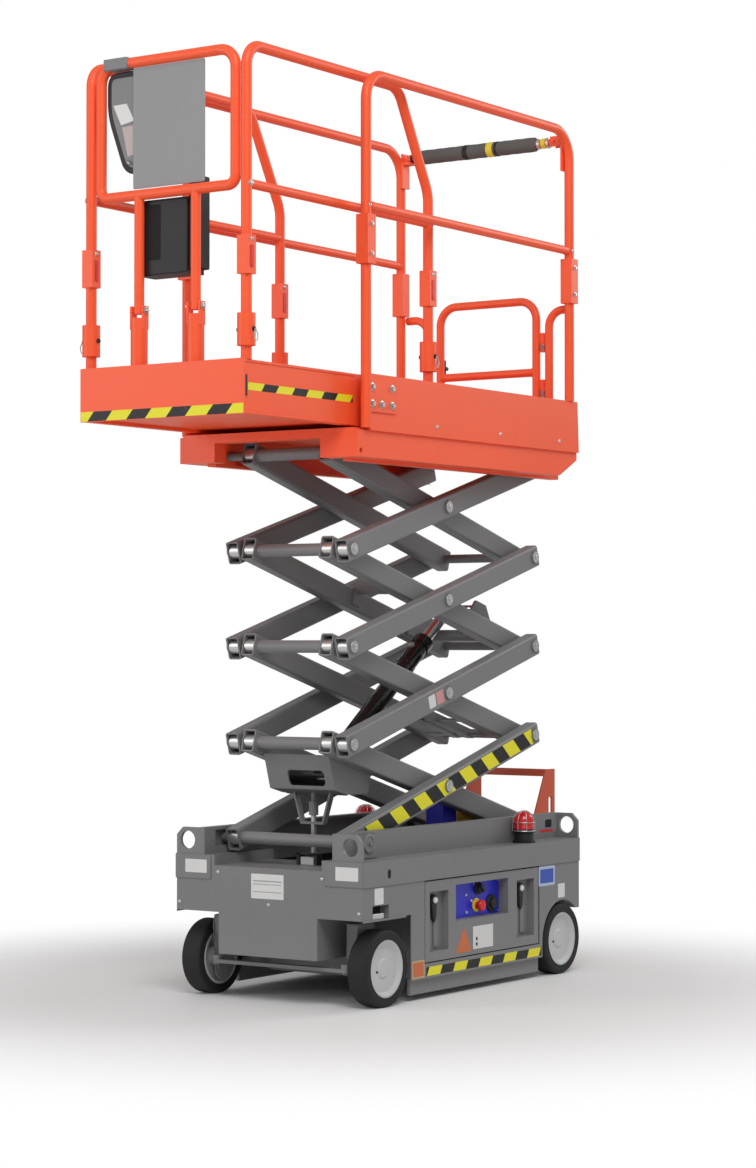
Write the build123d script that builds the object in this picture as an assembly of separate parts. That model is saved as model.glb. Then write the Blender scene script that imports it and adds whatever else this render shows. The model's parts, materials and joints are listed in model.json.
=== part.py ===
from build123d import *
import math
import os

# Self-propelled scissor lift with a roll-out deck, in millimetres.
# +X is the steering end, +Y the machine's left, +Z up; z = 0 is the floor.
# The origin is on the floor at the centre of the machine's outer box, with
# the roll-out deck out and the scissor stack at its rest angle.
# A size that begins a group is free; the ones worked out from it follow it.

RUN = 0.3                   # running gap at pins, seats and slides

# ---- chassis ---------------------------------------------------------------
CHASSIS_LENGTH = 1375.0
CHASSIS_WIDTH = 760.0
HALF = CHASSIS_WIDTH / 2
DECK_REACH = 561.0          # rolled-out deck's front ahead of the chassis front
DECK_REAR_LAP = 15.0        # platform's rear behind the chassis rear
STEP_DEPTH = 190.0          # entry step behind the chassis rear
STEP_REAR = CHASSIS_LENGTH + STEP_DEPTH

BODY_TOP = 477.0            # top of the side beams
BEAM_LOW = 395.0            # their underside
BEAM_PROUD = 4.0            # the beams stand this far out of the skin
SKIN_Y = HALF - BEAM_PROUD
BODY_BOTTOM = 72.0
BODY_WALL = 8.0
COVER_DROP = 34.0           # cover between the rails below the side beams
COVER_TOP = BODY_TOP - COVER_DROP
COVER_UNDER = COVER_TOP - 6
COVER_LENGTH = 330.0
NOSE_BOTTOM = 152.0         # underside between the front wheels
NOSE_LENGTH = 350.0
REAR_BOTTOM = 120.0
REAR_CORNER_Z = 228.0
SKIRT_BOTTOM = 21.0
SKIRT_THICK = 12.0
SKIRT_IN = 22.0             # skirt in from the widest point
SLOT_FRONT = 255.0          # slot in the cover, behind the chassis front
SLOT_HALF = 95.0

RAIL_IN = 85.0              # rails' outer faces in from the widest point
RAIL_OUTER_Y = HALF - RAIL_IN
RAIL_THICK = 35.0
RAIL_INNER_Y = RAIL_OUTER_Y - RAIL_THICK
RAIL_WALL = 10.0
RAIL_TOP = BODY_TOP + 88
LUG_THICK = 12.0
LUG_HOLE_R = 30.0
LUG_HOLE_Y = HALF - 50
LUG_HOLE_Z = BODY_TOP + 46
LUG_CORNER = 25.0

# ---- wheels and steering ---------------------------------------------------
TYRE_R = 125.0
RIM_R = 94.0
TYRE_WIDTH = 75.0
TYRE_ROUND = 10.0
TYRE_IN = 5.0               # tyres in from the widest point
WHEEL_OUTER_Y = HALF - TYRE_IN
WHEEL_INNER_Y = WHEEL_OUTER_Y - TYRE_WIDTH
RIM_DISH = 15.0
RIM_LIP = 6.0
HUB_R = 34.0
ARCH_GAP = 14.0
ARCH_R = TYRE_R + ARCH_GAP
FRONT_AXLE = 145.5          # behind the chassis front
REAR_AXLE_IN = 117.0        # ahead of the chassis rear
REAR_AXLE = CHASSIS_LENGTH - REAR_AXLE_IN
WELL_TOP = 289.0            # front wheel well
WELL_EDGE = FRONT_AXLE + ARCH_R
WELL_DEPTH = WELL_EDGE + 60
WELL_INNER_Y = HALF - 180
REAR_WELL_Y = HALF - 95
NOTCH = (60.0, 154.0)       # notch over the front wheel, behind the front
NOTCH_TOP = 333.0
NOTCH_DEPTH = 40.0
AXLE_R = 12.0
AXLE_IN_HUB = 40.0          # axle's reach into the hub
KINGPIN_Y = HALF - 118
KINGPIN_R = 16.0
STEER_ARM = 70.0
STEER_PLATE = 14.0
TIE_Z = 118.0
TIE_THICK = 12.0
TIE_PIN_R = 8.0
TIE_EYE_R = 18.0

# ---- side trays with their doors -------------------------------------------
DOOR_FRONT = 368.0          # behind the chassis front
DOOR_REAR = REAR_AXLE - 168
DOOR_BOTTOM = BODY_BOTTOM + 52
DOOR_TOP = BEAM_LOW - 5
DOOR_THICK = 30.0
DOOR_SHEET = 6.0
DOOR_GAP = 4.0
DOOR_REAR_GAP = 10.0
DOOR_FACE_Y = SKIN_Y
DOOR_RECESSES = ((DOOR_FRONT + 27, DOOR_FRONT + 141), (DOOR_REAR - 143, DOOR_REAR - 28))
DOOR_RECESS_Z = (DOOR_BOTTOM + 32, DOOR_TOP - 36)
DOOR_RECESS_DEPTH = 26.0
DOOR_PIN_IN = 10.0          # hinge pins in from the door's outer rear corner
DOOR_PIN_R = 5.0
DOOR_PIN_LENGTH = 10.0
PANEL = (555.0, 890.0)      # ground control panel, behind the chassis front
PANEL_Z = (246.0, 367.0)
PANEL_THICK = 4.0
POCKET_DEPTH = 43.0         # of the ground controls in the left door
POCKET_WALL = 4.0
BATTERY_SIZE = (262.0, 181.0, 245.0)
BATTERY_GAP = 50.0
BATTERY_IN = 60.0           # batteries in from the widest point

# ---- entry step ------------------------------------------------------------
STEP_HALF = 163.0
STEP_PLATE = 6.0
STEP_TREAD = 26.0
STEP_TOP = 712.0
STEP_TOP_LENGTH = 62.0
STEP_SEAT_TOP = BODY_TOP - 22
STEP_BOTTOM = 200.0
STEP_UPPER = 445.0          # underside of the upper tread
STEP_SLOTS = (522.0, 317.0)
STEP_SLOT_LENGTH = 90.0
STEP_SLOT_WIDTH = 22.0

# ---- on the chassis --------------------------------------------------------
BATTERY_INNER_Y = HALF - BATTERY_IN - BATTERY_SIZE[1]
UNIT_Y = (BATTERY_INNER_Y - 84, BATTERY_INNER_Y - 14)   # hydraulic unit
UNIT_BACK = (862.0, 948.0)
UNIT_TOP = 615.0
UNIT_BLOCK = 110.0
MOTOR_R = 34.0
TANK_BACK = (1000.0, 1094.0)
TANK_TOP = 580.0
BEACON_BACK = 1058.0
BEACON_R = 36.0
BEACON_BASE = 48.0
BEACON_DOME = 62.0

# ---- scissor stack ---------------------------------------------------------
LEVELS = 4
PIVOT_BACK = 134.0          # fixed pivots behind the chassis front
PIVOT_Z = BODY_TOP + 51
ARM_PITCH = CHASSIS_LENGTH - PIVOT_BACK - 51    # front pin to rear pin
LEVEL_RISE = 319.5          # rise of one level at rest
ARM_DEPTH = 76.0
ARM_WIDTH = 51.0
ARM_WALL = 5.0
ARM_ROUND = 8.0
ARM_END = 27.0              # arm past its end pins
OUTER_ARM_Y = RAIL_INNER_Y - 12
INNER_ARM_Y = OUTER_ARM_Y - ARM_WIDTH - 13
INNER_FACE_Y = INNER_ARM_Y - ARM_WIDTH      # inner arms' faces to the middle
PIN_R = 15.0
BOSS_R = 24.0
HEAD_R = 22.0
HEAD_THICK = 6.0
FRONT_TIE_R = 21.0
REAR_TIE_R = 16.0
MIDDLE_TIE_R = 16.0
MIDDLE_TIE = (585.0, 36.0)  # along and above the third inner arm
ROLLER_R = 26.7
ROLLER_GAP = 2.0
PIVOT_PLATE = (75.0, 193.0)
PIVOT_PLATE_Z = (BODY_TOP + 3, BODY_TOP + 78)
PIVOT_PLATE_THICK = 12.0

# ---- lift cylinder ---------------------------------------------------------
BARREL_R = 33.0
BARREL_LENGTH = 785.0       # foot pin to gland
GLAND_R = 37.0
GLAND_LENGTH = 40.0
ROD_R = 21.0
FOOT_ALONG = 188.8          # foot pin on the first inner arm: along, below
FOOT_BELOW = 77.7
EYE_ALONG = 971.0           # eye pin on the third inner arm: along, above
EYE_ABOVE = 77.0
ROD_LENGTH = 785.0          # eye pin to the rod's inner end
TRUNNION_R = 27.0
TRUNNION_Y = INNER_FACE_Y - 16
EYE_R = 30.0
EYE_WIDTH = 40.0
EYE_PIN_R = 14.0
EYE_PIN_Y = INNER_FACE_Y - 20
CHEEK = 10.0
CHEEK_OUTLINE = ((34, -30), (100, -133), (174, -131), (292, -102), (290, -30))
WEB_WINDOW = (-50.0, 100.0, -122.0, -76.0)
STRAP_BACK = (248.0, 272.0)     # strap under the bracket, behind the front
STRAP_LOW = 573.0
STRAP_THICK = 8.0
GUIDE_R = 8.0
GUIDE_LOW = 470.0
EAR_OUTLINE = ((915, -30), (915, 36), (953, 103), (1018, 103), (1068, 52), (1068, -30))
EAR_THICK = 10.0
EAR_GAP = 5.0               # ears in from the arms' inner faces
EAR_TUBE = EAR_OUTLINE[4][0] - 17
TRAY_ALONG = (723.0, 1107.0)    # hose tray under the second inner arms
TRAY_STRAPS = (858.0, 1077.0)
TRAY_BELOW = (-38.0, -10.0)
TRAY_HALF = 45.0
SLOTTED_ALONG = (1030.0, 1165.0)
SLOTTED_ABOVE = (28.0, 36.0)
SLOTTED_Y = 48.0

# ---- platform --------------------------------------------------------------
TOP_Z = PIVOT_Z + LEVELS * LEVEL_RISE
DECK_WIDTH = CHASSIS_WIDTH - 20
DECK_FRONT = 57.0           # front end of the side walls
DECK_FLOOR_Z = TOP_Z + 66
DECK_FLOOR = 7.0
DECK_UNDER = DECK_FLOOR_Z - DECK_FLOOR
DECK_REAR = CHASSIS_LENGTH + DECK_REAR_LAP
WALL_TOP = DECK_FLOOR_Z + 176
WALL_THICK = 22.0
BEAM_Y = CHASSIS_WIDTH / 2 - 20
BEAM_BOTTOM = TOP_Z - 28
BEAM_FRONT = -6.0
BEAM_DEPTH = 56.0
BEAM_CHAMFER = (120.0, 60.0)
BEAM_WINDOW = (215.0, 30.0)
BEAM_HOLE = (18.0, 20.0, 9.0)   # back, above the beam's underside, radius
TRACK_DEPTH = 37.0
TOE_HEIGHT = 25.0
TOE_THICK = 8.0

# ---- roll-out deck ---------------------------------------------------------
EXT_WIDTH = DECK_WIDTH - 90
EXT_WALL_Y = EXT_WIDTH / 2 - 7
EXT_WALL = 30.0
EXT_BOTTOM = DECK_FLOOR_Z + 8
EXT_FLOOR = 7.0
EXT_FLOOR_Z = EXT_BOTTOM + 17
EXT_PLATE = 8.0
EXT_REAR = 550.0            # rear end behind the chassis front
EXT_PAD = 60.0

# ---- guardrails ------------------------------------------------------------
TUBE = 34.0
MID_TUBE = 30.0
RAIL_HEIGHT = 1148.0
MID_HEIGHT = 718.0
RAIL_TOP_Z = DECK_FLOOR_Z + RAIL_HEIGHT
RAIL_MID_Z = DECK_FLOOR_Z + MID_HEIGHT
MAIN_RAIL_Y = DECK_WIDTH / 2 - 5
MAIN_POSTS = (38.0, CHASSIS_LENGTH - 44)
MAIN_BENDS = (85.0, 105.0)
SLEEVE = 46.0
SLEEVE_Z = (RAIL_MID_Z - 190, RAIL_MID_Z - 30)
BOLT_PLATE = (33.0, 198.0)
BOLT_PLATE_Z = (DECK_FLOOR_Z + 53, DECK_FLOOR_Z + 158)
BOLT_PLATE_THICK = 6.0
EXT_RAIL_Y = EXT_WALL_Y - 9
EXT_POST_FRONT = 34 - DECK_REACH
EXT_POST_REAR = EXT_REAR - 62
EXT_SLANT = (305.0, RAIL_TOP_Z - 330)
EXT_BENDS = (65.0, 80.0, 120.0)
EXT_SLEEVE = 42.0
EXT_SLEEVE_Z = (DECK_FLOOR_Z + 438, DECK_FLOOR_Z + 558)
EXT_SOCKET_R = 28.5
EXT_SOCKET_Z = (DECK_FLOOR_Z + 218, DECK_FLOOR_Z + 318)
FRONT_LOOP_Y = EXT_RAIL_Y - 41
FRONT_LOOP_TOP = RAIL_TOP_Z - 8
FRONT_BENDS = (30.0, 60.0)
FRONT_LEG_Y = 112.6
FRONT_LEG_R = 16.0
FRONT_HINGE_Z = DECK_FLOOR_Z + 353
FRONT_HINGE_R = 6.0
SOCKET_R = 27.0
SOCKET_DROP = 25.0
SHIELD_Y = (-155.0, 128.0)
SHIELD_THICK = 4.0
CONSOLE_Y = (22 - FRONT_LOOP_Y, -50.0)
CONSOLE_Z = (FRONT_LOOP_TOP - 312, FRONT_LOOP_TOP - 44)
CONSOLE_DEPTH = 110.0
CONSOLE_SLOPE = (40.0, 70.0)
CLAMP_Y = (22 - FRONT_LOOP_Y, -158.0)
CLAMP_WALL = 5.0
DOC_Y = (-125.0, 70.0)
DOC_BOTTOM = RAIL_MID_Z - 256
DOC_TOP = RAIL_MID_Z - TUBE / 2
DOC_DEPTH = 80.0
DOC_WALL = 4.0

# ---- rear gate and padded bar ----------------------------------------------
HINGE_POST_Y = DECK_WIDTH / 2 - 108
GATE_HINGE_Y = HINGE_POST_Y - 27
GATE_HALF = GATE_HINGE_Y - 27
GATE_TOP = DECK_FLOOR_Z + 553
GATE_MID = DECK_FLOOR_Z + 291
GATE_BOTTOM = DECK_FLOOR_Z + 53
GATE_BENDS = (40.0, 70.0)
GATE_BACK = CHASSIS_LENGTH - 13
GATE_HINGES = (DECK_FLOOR_Z + 228, DECK_FLOOR_Z + 398)
GATE_POST_TOP = GATE_TOP - 40
GATE_POST_BEND = 60.0
HINGE_R = 9.0
HINGE_PIN_R = 4.0
HINGE_HALF = 35.0
HINGE_LEAF = 6.0
BAR_BACK = MAIN_POSTS[1]
BAR_Z = RAIL_TOP_Z - 30
BAR_PIVOT_Y = MAIN_RAIL_Y - 53
BAR_FAR_Y = 35 - MAIN_RAIL_Y
BAR_PIN_R = 6.0
BAR_END = 14.0
FORK_GAP = 2.5
FORK_PLATE = 5.0
FORK_HALF = 18.0
WEB_DEPTH = 110.0
CRADLE = 8.0
FOAM_R = 24.0
FOAM_ENDS = (30.0, 80.0)

# ---- places worked out from the sizes --------------------------------------
X_FRONT = (STEP_REAR - DECK_REACH) / 2      # x of the chassis front
REST = math.degrees(math.asin(LEVEL_RISE / ARM_PITCH))
SPAN = ARM_PITCH * math.cos(math.radians(REST))


def X(back):
    """x of a place this far behind the chassis front."""
    return X_FRONT - back


PIVOT_X = X(PIVOT_BACK)


# ---- shared makers ---------------------------------------------------------
def block(x0, x1, y0, y1, z0, z1):
    centre = Pos((x0 + x1) / 2, (y0 + y1) / 2, (z0 + z1) / 2)
    return centre * Box(abs(x1 - x0), abs(y1 - y0), abs(z1 - z0))


def bar_y(x, z, radius, y0, y1):
    """Round bar along Y."""
    turn = Rot(90, 0, 0)
    return Pos(x, (y0 + y1) / 2, z) * turn * Cylinder(radius, abs(y1 - y0))


def bar_z(x, y, radius, z0, z1):
    return Pos(x, y, (z0 + z1) / 2) * Cylinder(radius, abs(z1 - z0))


def straight(start, end, radius):
    """Round bar between two points."""
    line = Line(start, end)
    return sweep(Plane(origin=line @ 0, z_dir=line % 0) * Circle(radius), path=line)


def bent_tube(points, bends, diameter):
    """Round tube along straight runs joined by bends of the given radii."""
    path = FilletPolyline(*points, radius=bends)
    section = Plane(origin=path @ 0, z_dir=path % 0) * Circle(diameter / 2)
    return sweep(section, path=path)


def side_plate(points, y0, y1):
    """Plate with an outline in X and Z, from y0 to y1."""
    face = make_face(Polyline(*[(x, 0, z) for x, z in points], close=True))
    plate = extrude(face, amount=abs(y1 - y0), dir=(0, 1, 0))
    return Pos(0, min(y0, y1), 0) * plate


def front_plate(points, x0, x1):
    """Plate with an outline in Y and Z, from x0 to x1."""
    face = make_face(Polyline(*[(0, y, z) for y, z in points], close=True))
    plate = extrude(face, amount=abs(x1 - x0), dir=(1, 0, 0))
    return Pos(min(x0, x1), 0, 0) * plate


def other_side(shape):
    return mirror(shape, about=Plane.XZ)


def both(shape):
    return [shape, other_side(shape)]


def fuse(pieces):
    total = pieces[0]
    for piece in pieces[1:]:
        total = total + piece
    return total


# ---- scissor stack ---------------------------------------------------------
def front_pin(level):
    """x and z of the front pin under a level, counted from 0."""
    return PIVOT_X, PIVOT_Z + level * LEVEL_RISE


def arm_beam(y_outer, bores):
    """One arm along -X from its front pin at the origin, with bored bosses."""
    y0 = y_outer - ARM_WIDTH
    far = -ARM_PITCH - ARM_END
    beam = block(ARM_END, far, y0, y_outer, -ARM_DEPTH / 2, ARM_DEPTH / 2)
    beam = fillet(beam.edges().filter_by(Axis.X), ARM_ROUND)
    inside = ARM_DEPTH / 2 - ARM_WALL
    hollow = block(ARM_END + 1, far - 1, y0 + ARM_WALL, y_outer - ARM_WALL, -inside, inside)
    beam -= fillet(hollow.edges().filter_by(Axis.X), ARM_ROUND - ARM_WALL)
    for along in (0, ARM_PITCH / 2, ARM_PITCH):
        beam += bar_y(-along, 0, BOSS_R, y0, y_outer)
        if bores:
            beam -= bar_y(-along, 0, PIN_R + RUN, y0 - 1, y_outer + 1)
    return beam


def place_arm(shape, level, rising):
    """Set an arm made along -X at its rest place in the stack."""
    x, z = front_pin(level if rising else level + 1)
    return Pos(x, 0, z) * Rot(0, REST if rising else -REST, 0) * shape


def roller(start):
    """Pin and roller of an arm that ends in a track."""
    roller_in, roller_out = RAIL_INNER_Y - ROLLER_GAP, RAIL_OUTER_Y - RAIL_WALL - ROLLER_GAP
    pin = bar_y(-ARM_PITCH, 0, PIN_R, start, roller_in)
    return pin + bar_y(-ARM_PITCH, 0, ROLLER_R, roller_in, roller_out)


def outer_arms(level):
    arm = arm_beam(OUTER_ARM_Y, True)
    inside = OUTER_ARM_Y - ARM_WIDTH
    if level == LEVELS - 1:
        # the top level's rear end carries the rollers of the platform's tracks
        arm += bar_y(-ARM_PITCH, 0, PIN_R + 1, inside, OUTER_ARM_Y + 1)
        arm += roller(inside)
    if level > 0:
        return [place_arm(piece, level, True) for piece in both(arm)]
    tie = bar_y(0, 0, FRONT_TIE_R, -inside, inside)
    tie -= bar_y(0, 0, PIN_R + RUN, -OUTER_ARM_Y, OUTER_ARM_Y)
    return [place_arm(fuse(both(arm) + [tie]), level, True)]


def inner_arms(level):
    arm = arm_beam(INNER_ARM_Y, False)
    head = OUTER_ARM_Y + RUN
    for along in (0, ARM_PITCH / 2, ARM_PITCH):
        if level == 0 and along == ARM_PITCH:
            arm += roller(INNER_FACE_Y)
        elif level == LEVELS - 1 and along == 0:
            arm += bar_y(-along, 0, PIN_R, INNER_FACE_Y, RAIL_OUTER_Y)
        else:
            arm += bar_y(-along, 0, PIN_R, INNER_FACE_Y, head)
            arm += bar_y(-along, 0, HEAD_R, head, head + HEAD_THICK)
    pieces = both(arm)
    pieces.append(bar_y(0, 0, FRONT_TIE_R, -INNER_FACE_Y, INNER_FACE_Y))
    if level > 0:
        pieces.append(bar_y(-ARM_PITCH, 0, REAR_TIE_R, -INNER_FACE_Y, INNER_FACE_Y))
    if level == 2:
        along, above = MIDDLE_TIE
        pieces.append(bar_y(-along, above, MIDDLE_TIE_R, -INNER_FACE_Y, INNER_FACE_Y))
        pieces += both(block(24 - along, -24 - along, INNER_FACE_Y - 8, INNER_FACE_Y, -20, above))
    return [place_arm(fuse(pieces), level, False)]


def on_inner_arm(level, along, above):
    """x and z of a point given along and above an inner arm's centre line."""
    x, z = front_pin(level + 1)
    c = math.cos(math.radians(REST))
    s = math.sin(math.radians(REST))
    return x - along * c - above * s, z - along * s + above * c


def arm_plate(outline, y0, y1):
    """Plate beside an inner arm, its outline given along and above the arm."""
    return side_plate([(-along, above) for along, above in outline], y0, y1)


FOOT = on_inner_arm(0, FOOT_ALONG, -FOOT_BELOW)
EYE = on_inner_arm(2, EYE_ALONG, EYE_ABOVE)
CYL_ANGLE = math.degrees(math.atan2(EYE[1] - FOOT[1], FOOT[0] - EYE[0]))
CYL_LENGTH = math.hypot(EYE[0] - FOOT[0], EYE[1] - FOOT[1])


def cylinder_bracket():
    """Cheeks, front web and strap under the first inner arms, with the foot's pin."""
    y = INNER_FACE_Y - CHEEK
    cheek = arm_plate(CHEEK_OUTLINE, y, INNER_FACE_Y)
    top, low, rear = CHEEK_OUTLINE[0], CHEEK_OUTLINE[1], CHEEK_OUTLINE[2]
    web = arm_plate([top, low, (low[0] + 8, low[1]), (top[0] + 8, top[1])], -y, y)
    y0, y1, z0, z1 = WEB_WINDOW
    window = block(-top[0], -low[0] - 20, y0, y1, z0, z1)
    web -= fillet(window.edges().filter_by(Axis.X), 14)
    end = rear[0] + 16
    base = arm_plate([low, (end, rear[1]), (end, rear[1] + 8), (low[0], low[1] + 8)], -y, y)
    pin = bar_y(-FOOT_ALONG, -FOOT_BELOW, PIN_R, -INNER_FACE_Y, INNER_FACE_Y)
    held = place_arm(fuse(both(cheek) + [web, base, pin]), 0, False)
    # strap and guide rod, upright at rest
    under = on_inner_arm(0, rear[0], rear[1])[1] + 4
    half = SLOT_HALF - 17
    foot = half - 32
    t = STRAP_THICK
    strap = front_plate([(-half, under), (-foot, STRAP_LOW), (foot, STRAP_LOW), (half, under),
                         (half - t, under), (foot - 0.6 * t, STRAP_LOW + t),
                         (0.6 * t - foot, STRAP_LOW + t), (t - half, under)],
                        X(STRAP_BACK[0]), X(STRAP_BACK[1]))
    x = X((STRAP_BACK[0] + STRAP_BACK[1]) / 2)
    guide = bar_z(x, 0, GUIDE_R, GUIDE_LOW, under)
    guide += bar_z(x, 0, 2 * GUIDE_R, STRAP_LOW + 30, under - 30)
    return [fuse([held, strap, guide])]


def eye_bracket():
    """Ears on the third inner arms beside the rod's eye, with their cross tube."""
    outer = INNER_FACE_Y - EAR_GAP
    inner = outer - EAR_THICK
    ear = arm_plate(EAR_OUTLINE, inner, outer)
    pad = block(-EAR_OUTLINE[0][0] - 14, -EAR_OUTLINE[4][0] + 8, outer, INNER_FACE_Y, -30, 34)
    tube = bar_y(-EAR_TUBE, 0, FRONT_TIE_R, -inner, inner)
    return [place_arm(fuse(both(ear + pad) + [tube]), 2, False)]


def hose_tray_2():
    """Two channels along the second inner arms on straps across them."""
    a0, a1 = TRAY_ALONG
    z0, z1 = TRAY_BELOW
    channel = block(-a0, -a1, TRAY_HALF - 32, TRAY_HALF, z0, z1)
    channel -= block(-a0 + 1, -a1 - 1, TRAY_HALF - 28, TRAY_HALF - 4, z0 + 4, z1 + 1)
    pieces = both(channel)
    for along in TRAY_STRAPS:
        pieces.append(block(-along - 15, -along + 15, -INNER_FACE_Y, INNER_FACE_Y, z0 + 3, z0 + 9))
    return [place_arm(fuse(pieces), 1, False)]


def hose_tray_3():
    """Slotted plate on the inside of the third inner arm."""
    a0, a1 = SLOTTED_ALONG
    z0, z1 = SLOTTED_ABOVE
    ear_y = INNER_FACE_Y - EAR_GAP - EAR_THICK
    plate = block(-a0, -a1, SLOTTED_Y, ear_y, z0, z1)
    plate += block(-EAR_OUTLINE[4][0] - 4, -a1, SLOTTED_Y, INNER_FACE_Y, z0, z1)
    pitch = (a1 - a0) / 3
    for k in range(3):
        middle = a0 + (k + 0.5) * pitch
        plate -= block(-middle - 12, -middle + 12, SLOTTED_Y + 18, INNER_FACE_Y - 24, z0 - 1, z1 + 1)
    return [place_arm(plate, 2, False)]


def cylinder_frame(shape):
    """Set a shape made along -X from the foot pin at the cylinder's rest place."""
    return Pos(FOOT[0], 0, FOOT[1]) * Rot(0, CYL_ANGLE, 0) * shape


def cylinder_barrel():
    lie = Rot(0, 90, 0)
    y = TRUNNION_Y
    barrel = Pos(-BARREL_LENGTH / 2, 0, 0) * lie * Cylinder(BARREL_R, BARREL_LENGTH)
    barrel += bar_y(0, 0, TRUNNION_R, -y, y)
    barrel -= bar_y(0, 0, PIN_R + RUN, -y - 1, y + 1)
    gland = Pos(-BARREL_LENGTH + GLAND_LENGTH / 2, 0, 0) * lie * Cylinder(GLAND_R, GLAND_LENGTH)
    bore_length = BARREL_LENGTH - TRUNNION_R - 8
    bore = Pos(-BARREL_LENGTH + bore_length / 2, 0, 0) * lie * Cylinder(ROD_R + RUN, bore_length + 2)
    return [cylinder_frame(barrel + gland - bore)]


def cylinder_rod():
    lie = Rot(0, 90, 0)
    rod = Pos(-CYL_LENGTH + ROD_LENGTH / 2, 0, 0) * lie * Cylinder(ROD_R, ROD_LENGTH)
    rod -= bar_y(-CYL_LENGTH, 0, EYE_R - 1, -EYE_WIDTH, EYE_WIDTH)
    rod += bar_y(-CYL_LENGTH, 0, EYE_R, -EYE_WIDTH / 2, EYE_WIDTH / 2)
    rod += bar_y(-CYL_LENGTH, 0, EYE_PIN_R, -EYE_PIN_Y, EYE_PIN_Y)
    return [cylinder_frame(rod)]


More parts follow.
